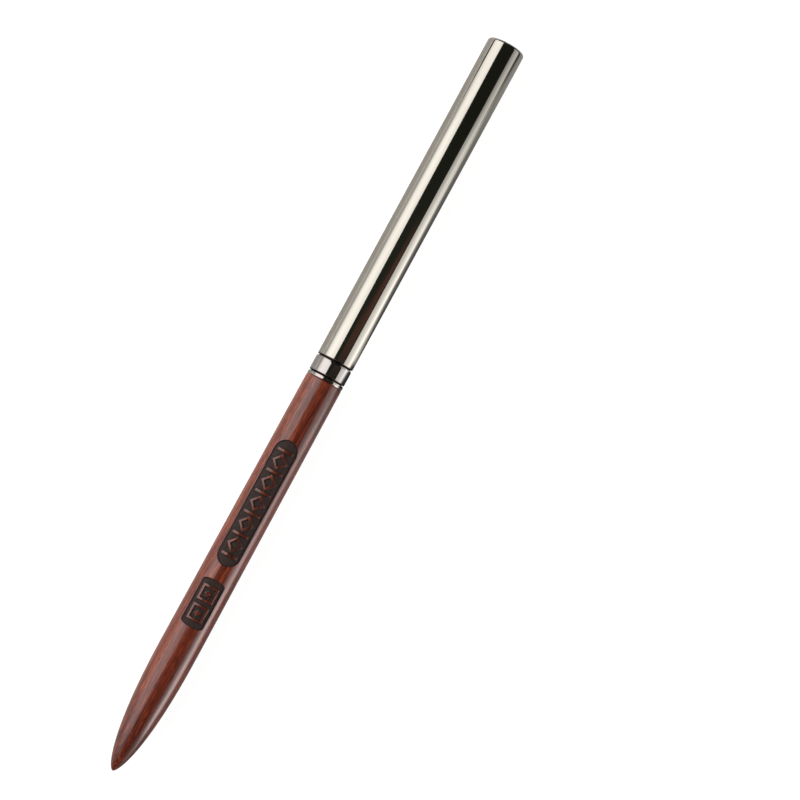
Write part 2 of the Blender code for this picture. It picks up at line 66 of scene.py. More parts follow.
NO_TRIANGLES = np.zeros((0, 3), int)
# Multiples of these two steps, taken modulo 1, spread points evenly over a square.
EVEN_STEPS = (0.7548776662, 0.5698402910)


class Ends(Enum):
    """How the first and last ring of a skin are closed."""

    POINTS = "each end closes on a point"
    LOOP = "the last ring joins the first"
    CAPS = "each end is a flat three-cornered face"


class Reach(Enum):
    """What a light sheet acts on: everything, only matt surfaces, or only mirror images."""

    ALL = "all"
    MATT = "matt"
    MIRRORED = "mirrored"


class Side(Enum):
    """The side of the brush that a light stands on, as the sign of its Y."""

    LEFT = 1.0
    RIGHT = -1.0


class Body(Enum):
    """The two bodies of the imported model."""

    BRUSH = "brush"
    CAP = "cap"


# Numbers along curves

def eased(value: Array, start: float, stop: float) -> Array:
    """Return a smooth step: 0 up to start, 1 from stop, and t * t * (3 - 2 t) between them."""
    share = np.clip((value - start) / (stop - start), 0.0, 1.0)
    return share * share * (3.0 - 2.0 * share)


def softer_of(first: Array, second: Array, softness: float) -> Array:
    """Return the smaller of two heights, rounded where they meet.

    The rounded minimum is -s * log(exp(-a / s) + exp(-b / s)).

    Args:
        first: One height.
        second: The other height.
        softness: The length s over which the corner is rounded.

    Returns:
        The rounded minimum, a little below both where they cross.
    """
    return -softness * np.logaddexp(-first / softness, -second / softness)


def crowded(start: float, stop: float, steps: int) -> Array:
    """Return steps + 1 places from start to stop that crowd near both ends, on a cosine."""
    turn = np.linspace(0.0, np.pi, steps + 1)
    return start + (stop - start) * 0.5 * (1.0 - np.cos(turn))


# Meshes

def placed(name: str, data: bpy.types.ID) -> bpy.types.Object:
    """Put a mesh or a camera in the scene.

    Args:
        name: The object's name.
        data: The mesh or the camera.

    Returns:
        The new object.
    """
    thing = bpy.data.objects.new(name, data)
    bpy.context.scene.collection.objects.link(thing)
    return thing


@dataclass
class Surface:
    """Points and faces of a mesh, with named values at its points.

    Attributes:
        points: One row of X, Y and Z for each point.
        quads: Four point numbers for each four-sided face.
        triangles: Three point numbers for each triangle.
        values: One number for each point, by attribute name.
        second_finish: Which quads take the piece's second material.
    """

    points: Array
    quads: Array
    triangles: Array = field(default_factory=lambda: NO_TRIANGLES)
    values: dict[str, Array] = field(default_factory=dict)
    second_finish: Array | None = None

    def volume(self) -> float:
        """Return the signed volume: a sixth of the triple product of each triangle's corners."""
        split = np.concatenate([self.quads[:, [0, 1, 2]], self.quads[:, [0, 2, 3]], self.triangles])
        first, second, third = (self.points[split[:, corner]] for corner in range(3))
        return float(np.einsum("ij,ij->", first, np.cross(second, third)) / 6.0)

    def face_out(self) -> None:
        """Turn every face over if the closed surface is inside out."""
        if self.volume() < 0.0:
            self.quads = self.quads[:, ::-1]
            self.triangles = self.triangles[:, ::-1]

    def mesh(self, name: str) -> bpy.types.Mesh:
        """Return the surface as a smooth-shaded mesh.

        Args:
            name: The name of the new mesh.

        Returns:
            The mesh, with its faces pointing out.
        """
        self.face_out()
        corners = np.concatenate([self.quads.ravel(), self.triangles.ravel()])
        sizes = np.repeat([4, 3], [len(self.quads), len(self.triangles)])
        mesh = bpy.data.meshes.new(name)
        mesh.vertices.add(len(self.points))
        mesh.vertices.foreach_set("co", self.points.astype(np.float32).ravel())
        mesh.loops.add(len(corners))
        mesh.loops.foreach_set("vertex_index", corners.astype(np.int32))
        mesh.polygons.add(len(sizes))
        mesh.polygons.foreach_set("loop_start", (np.cumsum(sizes) - sizes).astype(np.int32))
        for key, value in self.values.items():
            attribute = mesh.attributes.new(key, "FLOAT", "POINT")
            attribute.data.foreach_set("value", value.astype(np.float32).ravel())
        if self.second_finish is not None:
            numbers = np.zeros(len(sizes), np.int32)
            numbers[:len(self.quads)] = self.second_finish
            mesh.polygons.foreach_set("material_index", numbers)
        mesh.update(calc_edges=True)
        mesh.validate()
        mesh.shade_smooth()
        return mesh


def skin(rings: Array, ends: Ends, points: tuple = ()) -> Surface:
    """Join rings of points, in order, into a closed surface.

    Args:
        rings: An array of rings by corners by X, Y and Z.
        ends: How the first and last ring are closed.
        points: The first and last point, where the ends close on points.

    Returns:
        The surface, with the rings' points first.
    """
    rows, columns = rings.shape[:2]
    number = np.arange(rows * columns).reshape(rows, columns)
    beside = np.roll(number, -1, axis=1)
    above, above_beside = np.roll(number, -1, axis=0), np.roll(beside, -1, axis=0)
    last = rows if ends is Ends.LOOP else rows - 1
    quads = np.stack([number, beside, above_beside, above], axis=-1)[:last].reshape(-1, 4)
    corners = rings.reshape(-1, 3)
    if ends is Ends.LOOP:
        return Surface(corners, quads)
    if ends is Ends.CAPS:
        return Surface(corners, quads, np.array([number[0, ::-1], number[-1]]))
    tips = np.array(points, float)
    first, second = len(corners), len(corners) + 1
    fans = [
        np.stack([beside[0], number[0], np.full(columns, first)], axis=-1),
        np.stack([number[-1], beside[-1], np.full(columns, second)], axis=-1),
    ]
    return Surface(np.concatenate([corners, tips]), quads, np.concatenate(fans))


@dataclass(frozen=True)
class Axis:
    """The line through the middle of the brush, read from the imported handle.

    Attributes:
        tail: X of the tip of the tail.
        side: Y of the line.
        height: Z of the line.
    """

    tail: float
    side: float
    height: float

    @classmethod
    def of_handle(cls) -> "Axis":
        """Read the line from the handle's box: its belly is as wide as the box."""
        low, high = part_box("handle")
        return cls(low.x, 0.5 * (low.y + high.y), low.z + 0.5 * (high.y - low.y))

    def round_points(self, x: Array, radius: Array, angle: Array) -> Array:
        """Put points round the line, at Y = side + r * sin(angle) and Z = height + r * cos(angle).

        Args:
            x: X of the points.
            radius: Their distance r from the line.
            angle: Their angle round the line, from the top.

        Returns:
            The points, with X, Y and Z last.
        """
        x, radius, angle = np.broadcast_arrays(x, radius, angle)
        side = self.side + radius * np.sin(angle)
        return np.stack([x, side, self.height + radius * np.cos(angle)], axis=-1)

    def turned(self, outline: Array, ends: Ends, sides: int) -> Surface:
        """Turn an outline about the line.

        Args:
            outline: Rows of X and radius. Where the ends close on points, the first and
                last row lie on the line.
            ends: How the outline is closed.
            sides: How many faces go round.

        Returns:
            The turned surface.
        """
        angles = np.linspace(0.0, 2.0 * np.pi, sides, endpoint=False)
        rings = self.round_points(outline[:, :1], outline[:, 1:], angles[None, :])
        if ends is Ends.LOOP:
            return skin(rings, ends)
        return skin(rings[1:-1], ends, (rings[0, 0], rings[-1, 0]))


class Outline:
    """An outline of X and radius for a turned piece, made of straight runs and round corners."""

    def __init__(self, x: float, radius: float) -> None:
        """Start the outline at one point."""
        self.runs = [np.array([[x, radius]])]

    def line(self, x: float, radius: float, steps: int = 12) -> "Outline":
        """Add a straight run, with its steps crowded near both ends.

        Args:
            x: X of its end.
            radius: Radius of its end.
            steps: How many steps it has.

        Returns:
            The outline itself.
        """
        start = self.runs[-1][-1]
        share = crowded(0.0, 1.0, steps)[1:, None]
        self.runs.append(start + (np.array([x, radius]) - start) * share)
        return self

    def corner(self, centre: tuple[float, float], sizes: tuple[float, float],
               degrees: tuple[float, float], steps: int = 10) -> "Outline":
        """Add an arc, after a straight run to its start.

        The arc's point at an angle is the centre plus (X size * cos, radius size * sin), so
        0 degrees points to the cap end and 90 degrees away from the line.

        Args:
            centre: X and radius of the arc's centre.
            sizes: The arc's half axes along X and along the radius.
            degrees: The first and last angle.
            steps: How many steps the arc has.

        Returns:
            The outline itself.
        """
        turn = np.radians(np.linspace(degrees[0], degrees[1], steps + 1))
        arc = np.array(centre) + np.array(sizes) * np.stack([np.cos(turn), np.sin(turn)], axis=1)
        if not np.allclose(arc[0], self.runs[-1][-1], atol=1e-9):
            self.line(*arc[0])
        self.runs.append(arc[1:])
        return self

    def closed(self) -> Array:
        """Return the points, without a last one that repeats the first."""
        points = np.concatenate(self.runs)
        return points[:-1] if np.allclose(points[0], points[-1], atol=1e-9) else points


# Finishes

class Graph:
    """The node tree of one material, with short calls for the nodes that finishes share."""

    def __init__(self, name: str) -> None:
        """Start a material that holds one Principled shader.

        Args:
            name: The material's name.
        """
        self.material = bpy.data.materials.new(name)
        self.material.use_nodes = True
        self.tree = self.material.node_tree
        self.shader = self.tree.nodes["Principled BSDF"]

    def add(self, kind: str, sockets: dict | None = None, **settings: object) -> bpy.types.Node:
        """Add a node.

        Args:
            kind: The node's type.
            sockets: Input name or number, and the value or the socket that feeds it.
            **settings: The node's own properties.

        Returns:
            The new node.
        """
        node = self.tree.nodes.new(kind)
        for key, value in settings.items():
            setattr(node, key, value)
        for key, value in (sockets or {}).items():
            self.feed(node, key, value)
        return node

    def feed(self, node: bpy.types.Node, key: str | int, value: object) -> None:
        """Link a socket to an input, or set the input to a value.

        Args:
            node: The node that is fed.
            key: The input's name or number.
            value: The socket or the value.
        """
        if isinstance(value, Socket):
            self.tree.links.new(value, node.inputs[key])
        else:
            node.inputs[key].default_value = value

    def set(self, **inputs: object) -> None:
        """Feed the shader's inputs, named with an underscore for each space."""
        for key, value in inputs.items():
            self.feed(self.shader, key.replace("_", " "), value)

    def place(self, per_mm: tuple, turn: tuple = (0.0, 0.0, 0.0),
              shift: tuple = (0.0, 0.0, 0.0)) -> Socket:
        """Return Object coordinates stretched by per_mm, in pattern units for each millimetre.

        Args:
            per_mm: The scale along X, Y and Z.
            turn: A turn about X, Y and Z in degrees, after the scale.
            shift: A shift in pattern units, last.

        Returns:
            The stretched coordinates.
        """
        coordinates = self.add("ShaderNodeTexCoord").outputs["Object"]
        mapping = self.add("ShaderNodeMapping", {
            "Vector": coordinates,
            "Scale": tuple(scale / MM for scale in per_mm),
            "Rotation": tuple(np.radians(turn)),
            "Location": shift,
        })
        return mapping.outputs["Vector"]

    def noise(self, per_mm: tuple, detail: float = 2.0, roughness: float = 0.5,
              distortion: float = 0.0, shift: tuple = (0.0, 0.0, 0.0)) -> Socket:
        """Return noise of about 0 to 1 on stretched Object coordinates."""
        node = self.add("ShaderNodeTexNoise", {
            "Vector": self.place(per_mm, shift=shift), "Scale": 1.0, "Detail": detail,
            "Roughness": roughness, "Distortion": distortion,
        })
        return node.outputs[0]

    def maths(self, operation: str, *values: object) -> Socket:
        """Return the result of a Math node."""
        sockets = dict(enumerate(values))
        return self.add("ShaderNodeMath", sockets, operation=operation).outputs[0]

    def remap(self, value: object, low: float, high: float, new_low: float = 0.0,
              new_high: float = 1.0) -> Socket:
        """Return a value moved from one range to another, and clamped to it."""
        sockets = {0: value, 1: low, 2: high, 3: new_low, 4: new_high}
        return self.add("ShaderNodeMapRange", sockets).outputs[0]

    def ramp(self, value: object, stops: list[tuple[float, Colour]]) -> Socket:
        """Colour a value with a ramp.

        Args:
            value: The value or its socket.
            stops: Place and colour of each stop, in order.

        Returns:
            The colour.
        """
        node = self.add("ShaderNodeValToRGB", {0: value})
        elements = node.color_ramp.elements
        while len(elements) < len(stops):
            elements.new(0.5)
        for element, (position, colour) in zip(elements, stops):
            element.position = position
            element.color = (*colour, 1.0)
        return node.outputs[0]

    def mix(self, factor: object, first: object, second: object) -> Socket:
        """Mix two colours.

        Args:
            factor: The share of the second colour.
            first: The first colour or its socket.
            second: The second colour or its socket.

        Returns:
            The mixed colour.
        """
        pair = [value if isinstance(value, Socket) else (*value, 1.0)
                for value in (first, second)]
        node = self.add("ShaderNodeMix", {0: factor, 6: pair[0], 7: pair[1]}, data_type="RGBA")
        return node.outputs[2]

    def blended(self, first: object, second: object, share: float) -> Socket:
        """Return the share of the first value plus the second: first * share + second."""
        return self.maths("MULTIPLY_ADD", first, share, second)

    def show(self, shader: bpy.types.Node) -> None:
        """Put a shader node in the place of the Principled one."""
        self.feed(self.tree.nodes["Material Output"], "Surface", shader.outputs[0])

    def value(self, name: str) -> Socket:
        """Return the number that the mesh holds under a name."""
        return self.add("ShaderNodeAttribute", attribute_name=name).outputs["Fac"]

    def bump(self, height: object, depth: float, strength: float = 1.0) -> Socket:
        """Return a normal bent by a height of 0 to 1 that stands for a depth in metres."""
        sockets = {"Height": height, "Distance": depth, "Strength": strength}
        return self.add("ShaderNodeBump", sockets).outputs["Normal"]


@dataclass(frozen=True)
class LacqueredRosewood:
    """Dark rosewood with flamed growth bands and fine pores, under clear lacquer.

    Attributes:
        name: The material's name.
        heart: Colour of the darkest bands.
        brown: Colour of the common wood.
        red: Colour of the lighter bands.
        flame: Colour of the brightest streaks.
        pith: Shift in millimetres that puts the middle of the tree beside the brush.
        band_per_mm: How many bands a millimetre of growth holds.
        burn: Colour of scorched wood at the edge of the engraving.
        darker_tail: X in millimetres where the darker tail starts and stops.
        darker_neck: X in millimetres where the darker neck starts and stops.
        lacquer_roughness: Roughness of the lacquer.
    """

    name: str = "lacquered_rosewood"
    heart: Colour = (0.040, 0.008, 0.005)
    brown: Colour = (0.15, 0.023, 0.009)
    red: Colour = (0.28, 0.052, 0.020)
    flame: Colour = (0.49, 0.140, 0.050)
    pith: tuple[float, float, float] = (0.0, 11.0, -8.0)
    band_per_mm: float = 0.75
    burn: Colour = (0.006, 0.004, 0.003)
    darker_tail: tuple[float, float] = (-85.0, -62.0)
    darker_neck: tuple[float, float] = (-18.0, 0.0)
    lacquer_roughness: float = 0.155

    def wood(self, graph: Graph) -> Socket:
        """Return the colour of the bare wood.

        The distance from the tree's middle, bent by slow noise, picks a place in noise along
        one line, which gives bands of uneven width and thin dark veins. Wood near the middle,
        which lies beside the brush's right side and above it, is darker, so the brush's left side
        is lighter than its right. Slow long noise moves whole stretches between dark and flamed,
        and fine long noise draws the fibres. Both ends of the handle are darker.

        Args:
            graph: The material's graph.

        Returns:
            The colour of the bare wood.
        """
        trunk = graph.place((1.0, 1.0, 1.0), turn=(0.0, 1.5, 2.6), shift=self.pith)
        across = graph.add("ShaderNodeVectorMath", {0: trunk, 1: (0.0, 1.0, 1.0)},
                           operation="MULTIPLY").outputs[0]
        radius = graph.add("ShaderNodeVectorMath", {0: across}, operation="LENGTH").outputs[1]
        wander = graph.noise((0.022, 0.20, 0.20), 3.0, 0.55)
        line = graph.maths("MULTIPLY", graph.blended(wander, radius, 5.0), self.band_per_mm)
        bands, veins = (
            graph.add("ShaderNodeTexNoise", {"W": line, "Scale": scale, "Detail": detail,
                                             "Roughness": roughness}, noise_dimensions="1D").outputs[0]
            for scale, detail, roughness in ((1.6, 4.0, 0.62), (2.3, 1.0, 0.5)))
        stretches = graph.noise((0.022, 0.50, 0.50), 3.0, 0.55, 0.3, (3.1, 0.0, 0.0))
        fibres = graph.noise((0.10, 2.6, 2.6), 4.0, 0.66)
        # Lighter away from the tree's middle, so the brush's left side is lighter than its right.
        tone = graph.remap(radius, 8.5, 14.5, 0.05, 0.20)
        for pattern, low, high, weight in ((bands, 0.32, 0.68, 0.24), (stretches, 0.34, 0.66, 0.20),
                                           (fibres, 0.30, 0.70, 0.38)):
            tone = graph.blended(graph.remap(pattern, low, high), tone, weight)
        along = graph.add("ShaderNodeSeparateXYZ", {0: graph.place((1.0, 1.0, 1.0))}).outputs["X"]
        # Darker towards the tip of the tail and towards the neck.
        darker_ends = graph.maths("ADD", graph.remap(along, *self.darker_tail, 0.11, 0.0),
                             graph.remap(along, *self.darker_neck, 0.0, 0.07))
        tone = graph.maths("SUBTRACT", tone, darker_ends)
        plain = graph.ramp(tone, [(0.18, self.heart), (0.40, self.brown), (0.62, self.red),
                                  (0.88, self.flame)])
        return graph.mix(graph.remap(veins, 0.62, 0.70, 0.0, 0.6), plain, self.heart)

    def material(self) -> Material:
        """Return the lacquered wood, scorched where the mesh says so."""
        graph = Graph(self.name)
        pores = graph.noise((0.50, 3.4, 3.4), 2.0, 0.55)
        open_pore = graph.remap(pores, 0.52, 0.62)
        fibres = graph.noise((0.20, 4.2, 4.2), 3.0, 0.6, shift=(0.0, 5.0, 0.0))
        colour = graph.mix(graph.maths("MULTIPLY", open_pore, 0.75), self.wood(graph), self.heart)
        colour = graph.mix(graph.remap(fibres, 0.35, 0.58, 0.50, 0.0), colour, self.heart)
        colour = graph.mix(graph.value("burn"), colour, self.burn)
        relief = graph.blended(open_pore, fibres, -0.6)
        graph.set(Base_Color=colour, Roughness=graph.remap(fibres, 0.3, 0.7, 0.42, 0.30),
                  Coat_Weight=1.0, Coat_Roughness=self.lacquer_roughness, Coat_IOR=1.6,
                  IOR=1.45,
                  Normal=graph.bump(relief, 0.012 * MM, 0.5),
                  Coat_Normal=graph.bump(relief, 0.006 * MM, 0.5))
        return graph.material


@dataclass(frozen=True)
class EngravedWood:
    """The scorched, matt floor of an engraved panel.

    Attributes:
        name: The material's name.
        char: Colour of the darkest fibres.
        ash: Colour of the paler fibres.
        burn: Colour at the foot of the walls.
    """

    name: str = "engraved_wood"
    char: Colour = (0.028, 0.017, 0.015)
    ash: Colour = (0.066, 0.041, 0.035)
    burn: Colour = (0.003, 0.002, 0.002)

    def material(self) -> Material:
        """Return matt fibres that run along the brush, black beside the walls."""
        graph = Graph(self.name)
        fibres = graph.noise((0.45, 7.0, 7.0), 4.0, 0.65)
        grit = graph.noise((9.0, 11.0, 11.0), 2.0, 0.6)
        shade = graph.blended(grit, graph.maths("MULTIPLY", fibres, 0.7), 0.3)
        colour = graph.ramp(shade, [(0.38, self.char), (0.62, self.ash)])
        colour = graph.mix(graph.value("burn"), colour, self.burn)
        relief = graph.blended(grit, fibres, 0.35)
        graph.set(Base_Color=colour, Roughness=graph.remap(grit, 0.3, 0.7, 0.95, 0.72),
                  Normal=graph.bump(relief, 0.03 * MM, 0.6))
        return graph.material


@dataclass(frozen=True)
class BrightMetal:
    """Polished, turned or drawn metal whose tool lines run round the brush.

    Attributes:
        name: The material's name.
        colour: Colour of the metal.
        stain: Colour where the surface has dulled a little.
        roughness: Roughness of the cleanest metal.
        dulling: How much rougher the dullest places are.
        line_per_mm: How many tool lines a millimetre holds.
        line_depth: How deep the tool lines are.
        seam_shade_colour: Colour of the painted shade in the seams.
    """

    name: str
    colour: Colour
    stain: Colour
    roughness: float = 0.04
    dulling: float = 0.04
    line_per_mm: float = 14.0
    line_depth: float = 0.00006 * MM
    seam_shade_colour: Colour = (0.010, 0.009, 0.008)

    def material(self) -> Material:
        """Return the metal, with slow stains, fine tool lines, and painted shade in the seams where
        the mesh says so.
        """
        graph = Graph(self.name)
        stains = graph.remap(graph.noise((0.10, 0.45, 0.45), 3.0, 0.6), 0.35, 0.70)
        lines = graph.noise((self.line_per_mm, 0.35, 0.35), 3.0, 0.7)
        dull = graph.blended(lines, graph.maths("MULTIPLY", stains, 0.5), 0.5)
        rough = graph.remap(dull, 0.2, 0.8, self.roughness, self.roughness + self.dulling)
        # Painted shade: the seam value darkens the metal to near black and makes it rougher.
        painted_seam_shade = graph.value("painted_seam_shade")
        colour = graph.mix(painted_seam_shade, graph.mix(stains, self.colour, self.stain), self.seam_shade_colour)
        graph.set(Base_Color=colour, Metallic=1.0,
                  Roughness=graph.blended(painted_seam_shade, rough, 0.5),
                  Normal=graph.bump(lines, self.line_depth))
        return graph.material


@dataclass(frozen=True)
class AmberResin:
    """Poured resin behind the roots of the hair, with cloudy places and small bubbles."""

    name: str = "amber_resin"
    clear: Colour = (0.62, 0.34, 0.09)
    cloudy: Colour = (0.42, 0.25, 0.10)

    def material(self) -> Material:
        """Return the resin."""
        graph = Graph(self.name)
        cloud = graph.noise((0.9, 0.9, 0.9), 4.0, 0.6)
        bubbles = graph.add("ShaderNodeTexVoronoi", {"Vector": graph.place((3.5, 3.5, 3.5)),
                                                     "Scale": 1.0}).outputs["Distance"]
        pits = graph.remap(bubbles, 0.0, 0.22)
        graph.set(Base_Color=graph.mix(cloud, self.clear, self.cloudy), IOR=1.55,
                  Roughness=graph.remap(cloud, 0.3, 0.7, 0.22, 0.40),
                  Normal=graph.bump(pits, 0.02 * MM, 0.6))
        return graph.material


@dataclass(frozen=True)
class WaxedThread:
    """Twisted and waxed binding thread."""

    name: str = "waxed_thread"
    pale: Colour = (0.66, 0.58, 0.44)
    shaded: Colour = (0.36, 0.29, 0.20)

    def material(self) -> Material:
        """Return thread whose plies run along the mesh's own ply value."""
        graph = Graph(self.name)
        ply = graph.maths("PINGPONG", graph.value("ply"), 0.5)
        fuzz = graph.noise((14.0, 14.0, 14.0), 3.0, 0.7)
        shade = graph.blended(fuzz, ply, 0.4)
        graph.set(Base_Color=graph.ramp(shade, [(0.2, self.shaded), (0.6, self.pale)]),
                  Roughness=graph.remap(fuzz, 0.3, 0.7, 0.62, 0.85),
                  Normal=graph.bump(shade, 0.03 * MM, 0.7))
        return graph.material


@dataclass(frozen=True)
class DyedHair:
    """Dark hair whose tips were dyed red and fade to pink; the palest ends are lightened further as
    painted light shining through the hairs.

    Attributes:
        name: The material's name.
        dark: Colour of the darkest hairs.
        grey: Colour of the palest hairs at the mouth.
        plum: Colour of the palest hairs nearer the tips.
        red: Colour where the dye starts.
        tip: Colour at the very end: the pink dye, lightened as painted light shining through.
    """

    name: str = "dyed_hair"
    dark: Colour = (0.026, 0.018, 0.020)
    grey: Colour = (0.125, 0.088, 0.094)
    plum: Colour = (0.100, 0.046, 0.052)
    red: Colour = (0.80, 0.105, 0.065)
    tip: Colour = (1.0, 0.78, 0.68)

    def material(self) -> Material:
        """Return hair coloured by each strand's shade and by the way to the tuft's end."""
        graph = Graph(self.name)
        reach = graph.value("reach")
        streaks = graph.noise((0.12, 6.0, 6.0), 3.0, 0.6)
        strand = graph.value("shade")
        shade = graph.blended(streaks, graph.maths("MULTIPLY", strand, 0.5), 0.5)
        pale = graph.mix(graph.remap(reach, 0.0, 0.75), self.grey, self.plum)
        colour = graph.mix(graph.remap(shade, 0.30, 0.70), self.dark, pale)
        uneven = graph.blended(strand, reach, 0.05)
        colour = graph.mix(graph.remap(uneven, 0.87, 0.98), colour, self.red)
        # Painted light: the palest pink at the very ends stands for light shining through the hair,
        # over the pink dye.
        colour = graph.mix(graph.remap(uneven, 0.955, 0.99), colour, self.tip)
        graph.set(Base_Color=colour, Roughness=graph.remap(shade, 0.3, 0.7, 0.48, 0.36), IOR=1.55)
        return graph.material


CAP_NICKEL = BrightMetal("cap_nickel", (0.67, 0.64, 0.58), (0.63, 0.60, 0.54))
COLLAR_NICKEL = BrightMetal("collar_nickel", (0.61, 0.575, 0.555), (0.57, 0.535, 0.515))
FERRULE_NICKEL = BrightMetal("ferrule_nickel", (0.62, 0.59, 0.565), (0.58, 0.55, 0.525))
TURNED_BRASS = BrightMetal("turned_brass", (0.80, 0.60, 0.28), (0.55, 0.38, 0.17), 0.16, 0.2, 9.0,
                           0.003 * MM)
PIN_STEEL = BrightMetal("pin_steel", (0.56, 0.56, 0.55), (0.40, 0.38, 0.36), 0.22, 0.25, 8.0,
                        0.004 * MM)


@dataclass
class Assembly:
    """A group of pieces on one body of the brush.

    Attributes:
        axis: The line through the middle of the brush.
        body: The body that the pieces ride on.
        glue_gap: How far glued pieces stand apart.
        ferrule_bore: Radius of the holes that the ferrule sits in.
    """

    axis: Axis
    body: Body = Body.BRUSH
    glue_gap: float = 0.05 * MM
    ferrule_bore: float = 2.82 * MM

    def add(self, name: str, surface: Surface, slot: str, nodes: tuple[str, ...],
            *finishes: Material) -> None:
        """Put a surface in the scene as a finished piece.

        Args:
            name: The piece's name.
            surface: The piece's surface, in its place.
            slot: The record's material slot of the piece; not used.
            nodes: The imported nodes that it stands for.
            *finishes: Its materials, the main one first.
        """
        mesh = surface.mesh(name)
        for finish in finishes:
            mesh.materials.append(finish)
        piece = placed(name, mesh)
        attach(piece, self.body.value)
        if nodes:
            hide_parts(*nodes)
        LOG.info("%s: %d faces on body %s", name, len(mesh.polygons), self.body.value)

    @staticmethod
    def shade_seams(surface: Surface, *seams: float, width: float = 0.11 * MM) -> Surface:
        """Give a surface painted shade round its seams, where the gaps between parts fall dark:
        exp(-(distance / width)²).

        Args:
            surface: The surface.
            *seams: X of each seam.
            width: How far the painted shade spreads.

        Returns:
            The same surface.
        """
        # Painted shade: a dark line along each seam, kept on the mesh for the metal to read.
        distance = np.abs(surface.points[:, :1] - np.array(seams)).min(axis=1)
        surface.values["painted_seam_shade"] = np.exp(-(distance / width) ** 2)
        return surface

    @staticmethod
    def radius_of(node: str) -> float:
        """Return the largest radius of a round node, half of its box's width."""
        low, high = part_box(node)
        return 0.5 * (high.y - low.y)


# Handle

@dataclass(frozen=True)
class Engraving:
    """Two sunk panels with raised figures, seen from above as X from the tail and Y.

    Every distance is negative inside its figure. The black of the scorching is deepest at a
    share, scorched_from, of the way down the walls.
    """

    half_width: float = 2.47 * MM
    depth: float = 0.20 * MM
    wall: float = 0.13 * MM
    small_start: float = 33.3 * MM
    small_length: float = 10.7 * MM
    small_end: float = 0.95 * MM
    small_power: float = 2.6
    spacing: float = 3.4 * MM
    long_length: float = 28.8 * MM
    lozenges: int = 5
    squares: int = 2
    half_height: float = 1.75 * MM
    stroke: float = 0.50 * MM
    margin: float = 2.4 * MM
    bar_half_width: float = 0.30 * MM
    scorch: float = 0.10 * MM
    scorched_from: float = 0.4
    browned: float = 0.45

    @property
    def small_stop(self) -> float:
        """Return where the small panel ends."""
        return self.small_start + self.small_length

    @property
    def long_start(self) -> float:
        """Return where the long panel starts."""
        return self.small_stop + self.spacing

    @property
    def long_stop(self) -> float:
        """Return where the long panel ends."""
        return self.long_start + self.long_length

    def long_panel(self, x: Array, y: Array) -> Array:
        """Return the distance from a bar with half-round ends.

        It is the distance from the bar's middle line, less half of the bar's width.

        Args:
            x: X from the tip of the tail.
            y: Y from the middle of the brush.

        Returns:
            The distance at each place.
        """
        straight = 0.5 * self.long_length - self.half_width
        beyond = np.maximum(np.abs(x - 0.5 * (self.long_start + self.long_stop)) - straight, 0.0)
        return np.hypot(beyond, y) - self.half_width

    def small_panel(self, x: Array, y: Array) -> Array:
        """Return the distance from a bar whose ends are the curve |x/a|^p + |y/b|^p = 1.

        With g the p-th root of that sum, the distance is close to (g - 1) over g's slope.

        Args:
            x: X from the tip of the tail.
            y: Y from the middle of the brush.

        Returns:
            The distance at each place.
        """
        power = self.small_power
        straight = 0.5 * self.small_length - self.small_end
        beyond = np.maximum(np.abs(x - 0.5 * (self.small_start + self.small_stop)) - straight, 0.0)
        along, across = beyond / self.small_end, np.abs(y) / self.half_width
        root = np.maximum(along ** power + across ** power, 1e-12) ** (1.0 / power)
        slope = np.hypot(along ** (power - 1.0) / self.small_end,
                         across ** (power - 1.0) / self.half_width) * root ** (1.0 - power)
        return (root - 1.0) / np.maximum(slope, 1.0 / self.half_width)

    @staticmethod
    def lozenge(x: Array, y: Array, half_length: float, half_height: float) -> Array:
        """Return the distance from a diamond's sides: (|x| b + |y| a - a b) over the side's length."""
        side = np.hypot(half_length, half_height)
        return (np.abs(x) * half_height + np.abs(y) * half_length - half_length * half_height) / side

    @staticmethod
    def bar(x: Array, y: Array, half_length: float, half_height: float) -> Array:
        """Return the distance from an upright rectangle: the larger of |x| - a and |y| - b."""
        return np.maximum(np.abs(x) - half_length, np.abs(y) - half_height)

    def opened(self, distance: Array) -> Array:
        """Return the distance from the stroke just inside a figure's edge."""
        return np.abs(distance + 0.5 * self.stroke) - 0.5 * self.stroke

    def long_figures(self, x: Array, y: Array) -> list[Array]:
        """Measure the figures of the long panel: open diamonds between bars.

        Args:
            x: X from the tip of the tail.
            y: Y from the middle of the brush.

        Returns:
            The distance from each figure.
        """
        pitch = (self.long_length - 2.0 * self.margin) / self.lozenges
        first = self.long_start + self.margin
        half_length = 0.5 * pitch - 2.0 * self.bar_half_width
        figures = []
        for number in range(self.lozenges):
            middle = first + pitch * (number + 0.5)
            figures.append(self.opened(self.lozenge(x - middle, y, half_length, self.half_height)))
        for number in range(self.lozenges + 1):
            middle = first + pitch * number
            figures.append(self.bar(x - middle, y, self.bar_half_width, self.half_height))
        return figures

    def small_figures(self, x: Array, y: Array) -> list[Array]:
        """Measure the figures of the small panel: open squares, each with a diamond in it.

        Args:
            x: X from the tip of the tail.
            y: Y from the middle of the brush.

        Returns:
            The distance from each figure.
        """
        pitch = (self.small_length - 2.0 * self.small_end) / self.squares
        half_length = min(self.half_height, 0.5 * pitch - 0.5 * self.stroke)
        figures = []
        for number in range(self.squares):
            across = x - (self.small_start + self.small_end + pitch * (number + 0.5))
            figures.append(self.opened(self.bar(across, y, half_length, self.half_height)))
            figures.append(self.lozenge(across, y, half_length - 2.0 * self.stroke,
                                        self.half_height - 2.0 * self.stroke))
        return figures

    def panels(self, x: Array, y: Array) -> Array:
        """Return the distance from the nearer panel."""
        return np.minimum(self.long_panel(x, y), self.small_panel(x, y))

    def ground(self, x: Array, y: Array) -> Array:
        """Return how deep inside the sunk ground a place lies, negative outside it."""
        figures = np.minimum.reduce(self.long_figures(x, y) + self.small_figures(x, y))
        return np.minimum(-self.panels(x, y), figures)

